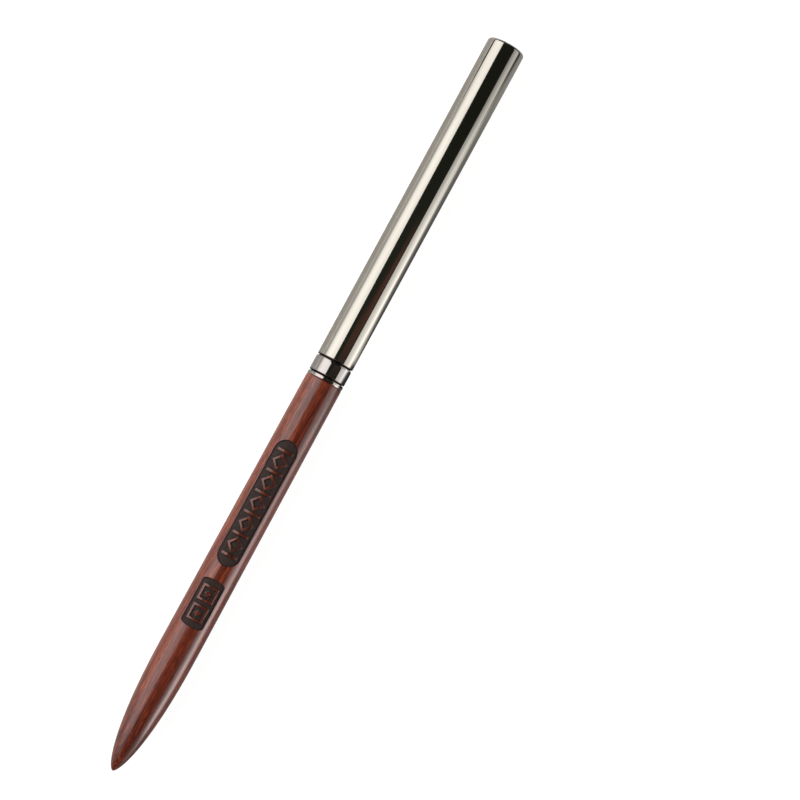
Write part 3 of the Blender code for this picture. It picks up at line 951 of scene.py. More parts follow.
    def scorched(self, x: Array, y: Array) -> Array:
        """Return how scorched a place is: black along the walls, browned on the figures.

        Args:
            x: X from the tip of the tail.
            y: Y from the middle of the brush.

        Returns:
            Numbers from 0 for bare wood to 1 for black.
        """
        off = self.ground(x, y) - self.scorched_from * self.wall
        walls = np.exp(-(off / self.scorch) ** 2)
        return np.maximum(walls, self.browned * eased(-self.panels(x, y), 0.0, 2.0 * self.scorch))


@dataclass
class Handle(Assembly):
    """The turned wooden handle: pointed tail, long body, bored neck and engraved panels.

    A face takes the panels' own finish where it is sunk by more than floor_from of their depth.
    """

    engraving: Engraving = Engraving()
    tail_length: float = 28.7 * MM
    tail_fullness: float = 2.4
    tail_bluntness: float = 0.6
    neck_edge: float = 0.08 * MM
    bore_radius: float = 2.00 * MM
    bore_depth: float = 15.8 * MM
    fine_step: float = 0.085 * MM
    fine_rim: float = 0.25 * MM
    floor_from: float = 0.12
    tail_rows: int = 64
    plain_rows: int = 8
    neck_rows: int = 16
    round_columns: int = 66

    def radii(self, stations: Array) -> Array:
        """Return the handle's radius at stations.

        The tail's radius is the belly's times (1 - (1 - u) ** fullness) ** bluntness, with u
        the share of the tail's length. The body narrows evenly from the belly to the neck.

        Args:
            stations: Distances from the tip of the tail.

        Returns:
            The radius at each station.
        """
        low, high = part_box("handle")
        belly, neck = self.radius_of("handle"), self.radius_of("collar_band")
        share = np.clip(stations / self.tail_length, 0.0, 1.0)
        tail = (1.0 - (1.0 - share) ** self.tail_fullness) ** self.tail_bluntness
        along = (stations - self.tail_length) / (high.x - low.x - self.neck_edge - self.tail_length)
        return belly * tail + (neck - belly) * np.clip(along, 0.0, 1.0)

    def rows(self) -> Array:
        """Return the stations of the outer rings: crowded at the tip, and fine along the panels."""
        low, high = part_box("handle")
        engraving = self.engraving
        marks = [engraving.small_start - self.fine_rim, engraving.small_stop + self.fine_rim,
                 engraving.long_start - self.fine_rim, engraving.long_stop + self.fine_rim]
        runs = [self.tail_length * np.linspace(0.0, 1.0, self.tail_rows + 1)[1:] ** 2]
        for start, stop in ((self.tail_length, marks[0]), (marks[1], marks[2])):
            runs.append(np.linspace(start, stop, self.plain_rows)[1:-1])
        for start, stop in ((marks[0], marks[1]), (marks[2], marks[3])):
            runs.append(np.linspace(start, stop, round((stop - start) / self.fine_step) + 1))
        runs.append(crowded(marks[3], high.x - low.x - self.neck_edge, self.neck_rows)[1:])
        return np.unique(np.concatenate(runs))

    def columns(self) -> Array:
        """Return the angles round the handle: evenly spaced in Y over the panels, then coarse."""
        edge = self.engraving.half_width + 0.4 * self.fine_rim
        belly = self.radius_of("handle")
        fine = np.arcsin(np.linspace(-edge, edge, round(2.0 * edge / self.fine_step) + 1) / belly)
        coarse = np.linspace(fine[-1], fine[0] + 2.0 * np.pi, self.round_columns + 1)[1:-1]
        return np.concatenate([fine, coarse])

    def surface(self) -> Surface:
        """Return the handle from the tip, over the outside and the neck, down into the bore.

        The ground of the panels is sunk along the radius by their depth times a smooth step
        of the distance inside the ground.
        """
        low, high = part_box("handle")
        stations, angles = self.rows(), self.columns()
        radii = self.radii(stations)[:, None]
        side = np.where(np.cos(angles) > 0.0, radii * np.sin(angles), 1.0)
        inside = self.engraving.ground(stations[:, None], side)
        sunk = eased(inside, 0.0, self.engraving.wall)
        outside = self.axis.round_points(low.x + stations[:, None],
                                         radii - self.engraving.depth * sunk, angles[None, :])
        neck = Outline(high.x - self.neck_edge, radii[-1, 0])
        neck.line(high.x, radii[-1, 0] - self.neck_edge, 3).line(high.x, self.bore_radius, 5)
        neck.line(high.x - self.bore_depth, self.bore_radius, 6)
        neck.line(high.x - self.bore_depth, 0.2 * self.bore_radius, 3)
        bore = neck.closed()[1:]
        inner = self.axis.round_points(bore[:, :1], bore[:, 1:], angles[None, :])
        ends = (self.axis.round_points(low.x, 0.0, 0.0),
                self.axis.round_points(high.x - self.bore_depth, 0.0, 0.0))
        surface = skin(np.concatenate([outside, inner]), Ends.POINTS, ends)
        burn = self.engraving.scorched(stations[:, None], side)
        plain = np.zeros(inner.shape[0] * inner.shape[1] + 2)
        surface.values["burn"] = np.concatenate([burn.ravel(), plain])
        depth = np.concatenate([sunk.ravel(), plain])
        surface.second_finish = depth[surface.quads].mean(axis=1) > self.floor_from
        return surface

    def build(self) -> None:
        """Add the handle."""
        self.add("rosewood_handle", self.surface(), "lacquered_rosewood", ("handle",),
                 LacqueredRosewood().material(), EngravedWood().material())


# Collar and the joint inside it

@dataclass
class Collar(Assembly):
    """The bead and band at the end of the wood, and the sleeve that the cap slides on."""

    bead_fillet: float = 0.22 * MM
    rear_edge: float = 0.10 * MM
    shoulder: tuple[float, float] = (0.60 * MM, 0.32 * MM)
    sleeve_wall: float = 0.30 * MM
    sleeve_fillet: float = 0.70 * MM
    sleeve_lip: float = 0.40 * MM
    seam: float = 0.25 * MM
    arris: float = 0.04 * MM
    sides: int = 192

    def ring(self, low: float, high: float, outer: float, rear: tuple[float, float],
             front: tuple[float, float], steps: tuple[int, int]) -> Surface:
        """Return a ring on the sleeve, whose outer edges are quarters of ellipses.

        Args:
            low: X of its end towards the tail.
            high: X of its end towards the cap.
            outer: Its outer radius.
            rear: Length and drop of the edge towards the tail.
            front: Length and drop of the edge towards the cap.
            steps: How many steps the rear and the front edge have.

        Returns:
            The ring.
        """
        bore = self.radius_of("cap_seat_sleeve") + self.glue_gap
        outline = Outline(high, bore)
        outline.corner((high - front[0], outer - front[1]), front, (0, 90), steps[1])
        outline.corner((low + rear[0], outer - rear[1]), rear, (90, 180), steps[0])
        outline.line(low, bore).line(high, bore)
        return self.axis.turned(outline.closed(), Ends.LOOP, self.sides)

    def bead(self) -> Surface:
        """Return the bead: a ring with two round outer edges."""
        low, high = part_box("bead_ring")
        outer, edge = self.radius_of("bead_ring"), (self.bead_fillet, self.bead_fillet)
        # Painted shade at the seam between the bead and the band.
        return self.shade_seams(self.ring(low.x, high.x, outer, edge, edge, (10, 10)), high.x)

    def band(self) -> Surface:
        """Return the band: a ring with a long round shoulder in front and a small edge behind."""
        low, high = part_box("collar_band")
        outer, edge = self.radius_of("collar_band"), (self.rear_edge, self.rear_edge)
        ring = self.ring(low.x, high.x, outer, edge, self.shoulder, (6, 14))
        # Painted shade at both seams of the band.
        return self.shade_seams(ring, low.x, high.x)

    def sleeve(self) -> Surface:
        """Return the sleeve: a thin tube closed down to the ferrule by a round front edge."""
        low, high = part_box("cap_seat_sleeve")
        outer = self.radius_of("cap_seat_sleeve")
        fillet, wall, lip, arris = self.sleeve_fillet, self.sleeve_wall, self.sleeve_lip, self.arris
        outline = Outline(high.x - lip, self.ferrule_bore)
        outline.corner((high.x - arris, self.ferrule_bore + arris), (arris, arris), (270, 360), 4)
        outline.corner((high.x - fillet, outer - fillet), (fillet, fillet), (0, 90), 14)
        outline.line(low.x + arris, outer, 120)
        outline.corner((low.x + arris, outer - arris), (arris, arris), (90, 180), 4)
        outline.line(low.x, outer - wall, 3).line(high.x - lip, outer - wall, 10)
        outline.line(high.x - lip, self.ferrule_bore, 3)
        tube = self.axis.turned(outline.closed(), Ends.LOOP, self.sides)
        # Painted shade on the sleeve just past the bead's and the band's front edges.
        seams = [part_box(node)[1].x + 0.5 * self.seam for node in ("bead_ring", "collar_band")]
        return self.shade_seams(tube, *seams, width=1.5 * self.seam)

    def build(self) -> None:
        """Add the bead, the band and the sleeve."""
        nickel = COLLAR_NICKEL.material()
        self.add("collar_bead", self.bead(), "collar_nickel", ("bead_ring",), nickel)
        self.add("collar_shoulder_band", self.band(), "collar_nickel", ("collar_band",), nickel)
        self.add("cap_seat_tube", self.sleeve(), "collar_nickel", ("cap_seat_sleeve",), nickel)


@dataclass
class Joint(Assembly):
    """The brass bush inside the sleeve and the grooved pin that ties it to the wood."""

    socket_depth: float = 6.2 * MM
    pin_bore: float = 2.00 * MM
    chamfer: float = 0.25 * MM
    arris: float = 0.05 * MM
    grooves: int = 5
    groove_depth: float = 0.20 * MM
    groove_length: float = 0.80 * MM
    wood_depth: float = 15.5 * MM
    shaft_rows: int = 260
    sides: int = 96

    def bush(self) -> Surface:
        """Return the bush: ferrule socket in front, pin bore behind."""
        low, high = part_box("socket_bush")
        outer, floor, arris = self.radius_of("socket_bush"), high.x - self.socket_depth, self.arris
        outline = Outline(high.x - arris, self.ferrule_bore).line(high.x, self.ferrule_bore + arris, 2)
        outline.line(high.x, outer - arris, 2).line(high.x - arris, outer, 2)
        outline.line(low.x + arris, outer, 8).line(low.x, outer - arris, 2)
        outline.line(low.x, self.pin_bore + arris, 4).line(low.x + arris, self.pin_bore, 2)
        outline.line(floor, self.pin_bore, 6).line(floor, self.ferrule_bore, 4)
        outline.line(high.x - arris, self.ferrule_bore, 8)
        return self.axis.turned(outline.closed(), Ends.LOOP, self.sides)

    def pin(self) -> Surface:
        """Return the pin: its radius dips by half a cosine wave in each glue groove."""
        low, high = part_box("tang_pin")
        radius, chamfer = self.radius_of("tang_pin"), self.chamfer
        x = np.linspace(high.x - chamfer, low.x + chamfer, self.shaft_rows)
        pitch = self.wood_depth / (self.grooves + 1)
        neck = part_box("handle")[1].x
        middles = neck - pitch * np.arange(1, self.grooves + 1)
        off = np.abs(x[:, None] - middles).min(axis=1)
        dip = np.cos(np.clip(off / self.groove_length, 0.0, 0.5) * np.pi) ** 2
        shaft = np.stack([x, radius - self.groove_depth * dip], axis=1)
        ends = [[[high.x, 0.0], [high.x, 0.5 * radius], [high.x, radius - chamfer]],
                [[low.x, radius - chamfer], [low.x, 0.5 * radius], [low.x, 0.0]]]
        outline = np.concatenate([np.array(ends[0]), shaft, np.array(ends[1])])
        return self.axis.turned(outline, Ends.POINTS, self.sides)

    def build(self) -> None:
        """Add the bush and the pin."""
        self.add("brass_bush", self.bush(), "turned_brass", ("socket_bush",),
                 TURNED_BRASS.material())
        self.add("steel_pin", self.pin(), "pin_steel", ("tang_pin",), PIN_STEEL.material())


# Head: ferrule and hair

@dataclass
class Head(Assembly):
    """The pressed ferrule, and the resin, thread and hair that it holds.

    The end of the hair has the outline (1 - v ** fullness) ** bluntness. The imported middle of
    the hair fills the share packing of its length, width and height, and takes the colour of
    the share packed_reach of its own way to the end. No strand ends outside strand_ends.
    """

    round_radius: float = 2.77 * MM
    waist_radius: float = 2.70 * MM
    wall: float = 0.22 * MM
    flat_length: float = 4.7 * MM
    ramp_length: float = 4.1 * MM
    bow: float = 0.22
    mouth: tuple[float, float] = (2.96 * MM, 1.68 * MM)
    crease: float = 0.025 * MM
    fine_step: float = 0.06 * MM
    fine_before: float = 0.35 * MM
    fine_after: float = 0.30 * MM
    row_gap: float = 0.05 * MM
    resin_hollow: float = 0.35 * MM
    thinning: float = 0.55
    fullness: float = 4.0
    bluntness: float = 0.22
    packing: float = 0.93
    packed_gap: float = 0.02 * MM
    packed_shade: float = 0.2
    packed_reach: float = 0.9
    binding: tuple[float, float] = (0.8 * MM, 1.6 * MM)
    thread_depth: float = 0.35 * MM
    thread_turns: int = 4
    thread_steps: int = 60
    plies: int = 2
    ply_twist: float = 6.0
    strands: int = 2300
    strand_radius: float = 0.042 * MM
    strand_steps: int = 9
    strand_sway: float = 0.018 * MM
    strand_ends: tuple[float, float] = (0.35, 0.992)
    strand_seed: int = 11
    root_depth: float = 2.2 * MM
    sides: int = 208
    hidden_sides: int = 96

    @property
    def mouth_x(self) -> float:
        """Return X of the ferrule's mouth."""
        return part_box("ferrule")[1].x

    def half_sizes(self, x: Array) -> tuple[Array, Array, Array]:
        """Return the section's half width, the radius it is bent from, and its flats' height.

        The tube narrows evenly to the ramp. Along the ramp the width spreads on a smooth step,
        and at a share s of it the flats are down by (1 - bow) * s + bow * s ** 2 of their
        whole drop, rounded where the ramp ends.

        Args:
            x: X of each section.

        Returns:
            The half width, the radius and the flats' height of each section.
        """
        flat = self.mouth_x - self.flat_length
        ramp = flat - self.ramp_length
        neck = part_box("cap_seat_sleeve")[1].x
        share = np.clip((x - neck) / (ramp - neck), 0.0, 1.0)
        radius = self.round_radius + (self.waist_radius - self.round_radius) * share
        spread = eased(x, ramp, flat)
        width = radius + (self.mouth[0] - radius) * spread
        along = np.maximum((x - ramp) / self.ramp_length, 0.0)
        drop = (1.0 - self.bow) * along + self.bow * along ** 2
        height = -softer_of((self.waist_radius - self.mouth[1]) * drop - self.waist_radius,
                            np.full_like(x, -self.mouth[1]), self.crease)
        return width, radius, height

    def rings(self, x: Array, inset: Array, sides: int) -> Array:
        """Return sections of the ferrule: an ellipse cut to a flat above and below.

        Args:
            x: X of each section.
            inset: How far each section is moved inwards.
            sides: How many points a section has.

        Returns:
            An array of sections by points by X, Y and Z.
        """
        angles = np.linspace(0.0, 2.0 * np.pi, sides, endpoint=False)[None, :]
        width, radius, height = (size[:, None] - inset[:, None] for size in self.half_sizes(x))
        up = radius * np.cos(angles)
        flat = softer_of(np.abs(up), np.broadcast_to(height, up.shape), self.crease)
        lift = np.where(height > radius + 6.0 * self.crease, up, np.sign(np.cos(angles)) * flat)
        points = [np.broadcast_to(x[:, None], lift.shape), self.axis.side + width * np.sin(angles),
                  self.axis.height + lift]
        return np.stack(points, axis=-1)

    def ferrule(self) -> Surface:
        """Return the ferrule: outside to the mouth, round its lip, and back along the inside."""
        low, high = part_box("ferrule")
        flat = high.x - self.flat_length
        ramp, lip, gap = flat - self.ramp_length, 0.5 * self.wall, self.row_gap
        turn = np.radians(np.linspace(90.0, -90.0, 9))
        outer = np.concatenate([
            np.linspace(low.x + lip, ramp - self.fine_before - gap, 30),
            np.arange(ramp - self.fine_before, flat + self.fine_after, self.fine_step),
            np.linspace(flat + self.fine_after + gap, high.x - lip - gap, 20),
        ])
        inner = np.concatenate([np.linspace(high.x - lip, ramp - self.fine_after, 40)[1:],
                                np.linspace(ramp - self.fine_after - 4.0 * gap, low.x + lip, 12)[:-1]])
        x = [outer, high.x - lip + lip * np.cos(turn), inner, low.x + lip - lip * np.cos(turn[::-1])]
        inset = [np.zeros(len(outer)), lip - lip * np.sin(turn), np.full(len(inner), self.wall),
                 lip - lip * np.sin(turn[::-1])]
        rings = self.rings(np.concatenate(x), np.concatenate(inset), self.sides)
        return skin(rings[:-1], Ends.LOOP)

    def resin(self) -> Surface:
        """Return the resin plug, with a hollow at each end where it drew in as it set."""
        low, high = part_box("resin_plug")
        inset, deep = self.wall + self.glue_gap, self.resin_hollow
        share = np.linspace(0.0, 1.0, 12)[1:]
        bowl, drawn_in = deep * (1.0 - share ** 2), inset + (self.round_radius - inset) * (1.0 - share)
        middle = np.linspace(low.x, high.x, 24)[1:-1]
        x = np.concatenate([low.x + bowl, middle, (high.x - bowl)[::-1]])
        inward = np.concatenate([drawn_in, np.full(len(middle), inset), drawn_in[::-1]])
        ends = tuple((at, self.axis.side, self.axis.height) for at in (low.x + deep, high.x - deep))
        return skin(self.rings(x, inward, self.hidden_sides), Ends.POINTS, ends)

    def thread(self) -> Surface:
        """Return the binding: a round thread wound in a helix, side by side.

        Its middle line is (x, R, angle) with x growing by one thread's width each turn.
        """
        low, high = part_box("hair_binding")
        radius = 0.5 * (high.x - low.x) / (self.thread_turns + 1)
        reach = self.radius_of("hair_binding") - radius
        whole, turns = 2.0 * np.pi, self.thread_turns
        turn = np.linspace(0.0, whole * turns, self.thread_steps * turns)[:, None]
        around = np.linspace(0.0, whole, 12, endpoint=False)[None, :]
        centre = low.x + radius + 2.0 * radius * turn / whole
        rings = self.axis.round_points(centre + radius * np.cos(around),
                                       reach + radius * np.sin(around), turn)
        surface = skin(rings, Ends.POINTS, (rings[0].mean(axis=0), rings[-1].mean(axis=0)))
        ply = turn * self.ply_twist + around / whole * self.plies
        surface.values["ply"] = np.concatenate([ply.ravel(), [0.0, 0.0]])
        return surface

    def end_rounding(self, reach: Array) -> Array:
        """Return how wide the hair is at a share v of its bare length."""
        return (1.0 - np.clip(reach, 0.0, 1.0) ** self.fullness) ** self.bluntness

    def core(self) -> Surface:
        """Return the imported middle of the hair, from its roots to near its tips."""
        root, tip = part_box("bristle_tuft")[0].x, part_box("bristle_tuft")[1].x
        tied_start, tied_length = self.binding
        loose = self.wall + self.glue_gap + self.packed_gap
        tied = self.thread_depth + 2.0 * self.glue_gap
        held = np.linspace(root, self.mouth_x, 70)
        tied_stop = root + tied_start + tied_length
        waist = (eased(held, root + 0.4 * tied_start, root + tied_start)
                 - eased(held, tied_stop, tied_stop + 0.4 * tied_start))
        sides = self.hidden_sides
        inside = self.rings(held, loose + tied * waist, sides)
        reach = np.linspace(0.0, self.packing, 40)[1:]
        section = self.rings(np.full(len(reach), self.mouth_x), np.full(len(reach), loose), sides)
        scale = self.end_rounding(reach)[:, None] * self.packing
        across = (section[..., 1] - self.axis.side) * scale
        thinned = (1.0 - self.thinning * reach)[:, None] * self.packing
        lift = (section[..., 2] - self.axis.height) * scale * thinned
        x = np.broadcast_to(self.mouth_x + (tip - self.mouth_x) * reach[:, None], across.shape)
        bare = np.stack([x, self.axis.side + across, self.axis.height + lift], axis=-1)
        rings = np.concatenate([inside, bare])
        ends = ((root, self.axis.side, self.axis.height), tuple(rings[-1].mean(axis=0)))
        surface = skin(rings, Ends.POINTS, ends)
        shares = np.concatenate([np.zeros(len(held) * sides), np.repeat(reach, sides),
                                 [0.0, reach[-1]]])
        surface.values = {"reach": self.packed_reach * shares,
                          "shade": np.full(len(shares), self.packed_shade)}
        return surface

    def hair(self) -> Surface:
        """Return the outer hairs: thin three-sided tapers spread evenly over the mouth.

        A hair that leaves the mouth at shares (a, b) of its half width and height keeps to
        a * W * f(v) ** 0.5 across and b * H * (1 - thinning * v) * f(v) up, with f the end
        rounding, and it ends where the first reaches the outline of the tuft.
        """
        root, tip = self.mouth_x - self.root_depth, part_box("bristle_tuft")[1].x
        inset = self.wall + self.glue_gap + self.strand_radius
        width, height = (size - inset for size in self.mouth)
        number = np.arange(1, self.strands + 1)[:, None]
        across, lift = (2.0 * ((number * step) % 1.0) - 1.0 for step in EVEN_STEPS)
        within = (across ** 2 + (lift * height / (self.waist_radius - inset)) ** 2 < 1.0)[:, 0]
        across, lift = across[within], lift[within]
        random = np.random.default_rng(self.strand_seed)
        shade = random.random((len(across), 1))
        last = (1.0 - np.abs(across) ** (2.0 / self.bluntness)) ** (1.0 / self.fullness)
        last = np.clip(last * (0.965 + 0.03 * shade), *self.strand_ends)
        share = np.linspace(0.0, 1.0, self.strand_steps)[None, :] ** 0.8
        start = (root - self.mouth_x) / (tip - self.mouth_x)
        reach = start + (last - start) * share
        rounding = self.end_rounding(reach)
        sway = random.normal(0.0, self.strand_sway, (len(across), 2, 1)) * share[:, None, :]
        y = across * width * rounding ** 0.5 + sway[:, 0]
        z = lift * height * (1.0 - self.thinning * np.clip(reach, 0.0, 1.0)) * rounding + sway[:, 1]
        thick = self.strand_radius * (1.0 - 0.8 * share ** 3)
        turn = np.radians([90.0, 210.0, 330.0]) + 2.0 * np.pi * shade[..., None]
        x = self.mouth_x + (tip - self.mouth_x) * reach
        points = np.stack(np.broadcast_arrays(
            x[..., None],
            self.axis.side + y[..., None] + thick[..., None] * np.cos(turn),
            self.axis.height + z[..., None] + thick[..., None] * np.sin(turn),
        ), axis=-1)
        return self.many(points, {"reach": reach, "shade": np.broadcast_to(shade, reach.shape)})

    @staticmethod
    def many(points: Array, values: dict[str, Array]) -> Surface:
        """Return many separate tapers of the same layout as one surface.

        Args:
            points: An array of tapers by steps by three corners by X, Y and Z.
            values: Numbers for each taper and step, by attribute name.

        Returns:
            One surface that holds every taper, closed at both ends.
        """
        count, steps = points.shape[:2]
        one = skin(points[0], Ends.CAPS)
        offset = (np.arange(count) * steps * 3)[:, None, None]
        quads = (one.quads[None] + offset).reshape(-1, 4)
        triangles = (one.triangles[None] + offset).reshape(-1, 3)
        at_points = {key: np.repeat(value.ravel(), 3) for key, value in values.items()}
        return Surface(points.reshape(-1, 3), quads, triangles, at_points)

    def build(self) -> None:
        """Add the ferrule, the resin, the thread and the hair."""
        hair = DyedHair().material()
        self.add("pressed_ferrule", self.ferrule(), "ferrule_nickel", ("ferrule",),
                 FERRULE_NICKEL.material())
        self.add("root_resin", self.resin(), "amber_resin", ("resin_plug",), AmberResin().material())
        self.add("binding_thread", self.thread(), "waxed_thread", ("hair_binding",),
                 WaxedThread().material())
        self.add("packed_hair", self.core(), "dark_hair", ("bristle_tuft",), hair)
        self.add("outer_hair", self.hair(), "dark_hair", (), hair)


# Cap

@dataclass
class Cap(Assembly):
    """The drawn cap: one tube with a closed end, straight inside and flared outside."""

    body: Body = Body.CAP
    wall: float = 0.42 * MM
    flare: float = 0.11 * MM
    mouth_edge: float = 0.12 * MM
    end_fillet: float = 0.75 * MM
    end_wall: float = 0.60 * MM
    sides: int = 256

    def surface(self) -> Surface:
        """Return the cap: closed end, outside, rounded mouth, bore and the end of the bore."""
        low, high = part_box("cap")
        outer, edge, fillet = self.radius_of("cap"), self.mouth_edge, self.end_fillet
        mouth = outer - self.flare
        bore = mouth - self.wall
        outline = Outline(high.x, 0.0).line(high.x, outer - fillet, 8)
        outline.corner((high.x - fillet, outer - fillet), (fillet, fillet), (0, 90), 16)
        outline.line(low.x + edge, mouth, 40)
        outline.corner((low.x + edge, mouth - edge), (edge, edge), (90, 180), 8)
        outline.corner((low.x + edge, bore + edge), (edge, edge), (180, 270), 8)
        outline.line(high.x - self.end_wall - fillet, bore, 24)
        outline.corner((high.x - self.end_wall - fillet, bore - fillet), (fillet, fillet), (90, 0), 8)
        outline.line(high.x - self.end_wall, 0.0, 8)
        tube = self.axis.turned(outline.closed(), Ends.POINTS, self.sides)
        # Painted shade along the cap's mouth, where it meets the band.
        return self.shade_seams(tube, low.x)

    def build(self) -> None:
        """Add the cap."""
        self.add("drawn_cap", self.surface(), "cap_nickel", ("cap",), CAP_NICKEL.material())


# Studio

class Stand(Enum):
    """How a light sheet stands: bent round the brush, or flat just above the floor."""

    ROUND = "round"
    FLAT = "flat"


@dataclass(frozen=True)
class LightSheet:
    """A soft light sheet beside the brush, whose glow changes from place to place.

    Attributes:
        name: The light's name.
        side: The side that it stands on.
        spots: X of its columns.
        lines: Its lines along the brush. Each has its place and then its glow at each spot,
            where 1 shows as white. The place is degrees above the floor on a round sheet,
            and millimetres from the brush on a flat one.
        stand: How it stands.
        colour: Its colour.
        distance: How far from the brush a round sheet is.
        reach: What it acts on.
        crest: How much the last line's place grows at each spot.
        clear: Whether what lies behind it shows through.
    """

    name: str
    side: Side
    spots: tuple[float, ...]
    lines: tuple[tuple[float, ...], ...]
    stand: Stand = Stand.ROUND
    colour: Colour = (1.0, 0.985, 0.96)
    distance: float = 0.42
    reach: Reach = Reach.ALL
    crest: tuple[float, ...] | float = 0.0
    clear: bool = False

    def points(self) -> Array:
        """Return the sheet's points by line, spot and coordinate."""
        place = np.array([line[:1] * len(self.spots) for line in self.lines], float)
        place[-1] += np.array(self.crest)
        x = np.broadcast_to(np.array(self.spots), place.shape)
        if self.stand is Stand.ROUND:
            angle = np.radians(place)
            across, above = self.distance * np.cos(angle), self.distance * np.sin(angle)
        else:
            across, above = place * MM, np.full(place.shape, 0.3 * MM)
        return np.stack([x, self.side.value * across, above], axis=-1)

    def build(self) -> None:
        """Add the sheet."""
        glow = np.array([line[1:] for line in self.lines])
        glowing_sheet(self.name, self.points(), glow, self.colour, self.reach, self.clear)


def glowing_sheet(name: str, points: Array, glow: Array, colour: Colour,
                  reach: Reach = Reach.ALL, clear: bool = False) -> None:
    """Add a light sheet that the camera doesn't see.

    Args:
        name: The light's name.
        points: Its points by line, spot and coordinate.
        glow: The light that it gives at each point, where 1 shows as white.
        colour: Its colour.
        reach: What it acts on.
        clear: Whether what lies behind it shows through.
    """
    rows, columns = points.shape[:2]
    number = np.arange(rows * columns).reshape(rows, columns)
    quads = np.stack([number[:-1, :-1], number[:-1, 1:], number[1:, 1:], number[1:, :-1]], axis=-1)
    mesh = bpy.data.meshes.new(name)
    mesh.from_pydata(points.reshape(-1, 3).tolist(), [], quads.reshape(-1, 4).tolist())
    values = mesh.attributes.new("glow", "FLOAT", "POINT").data
    values.foreach_set("value", glow.astype(np.float32).ravel())
    graph = Graph(name)
    light = graph.add("ShaderNodeEmission", {0: (*colour, 1.0), 1: graph.value("glow")})
    if clear:
        behind = graph.add("ShaderNodeBsdfTransparent").outputs[0]
        light = graph.add("ShaderNodeAddShader", {0: light.outputs[0], 1: behind})
    graph.show(light)
    mesh.materials.append(graph.material)
    sheet = placed(name, mesh)
    sheet.visible_camera = False
    sheet.visible_glossy = reach is not Reach.MATT
    sheet.visible_diffuse = reach is not Reach.MIRRORED
    sheet.visible_shadow = reach is Reach.ALL


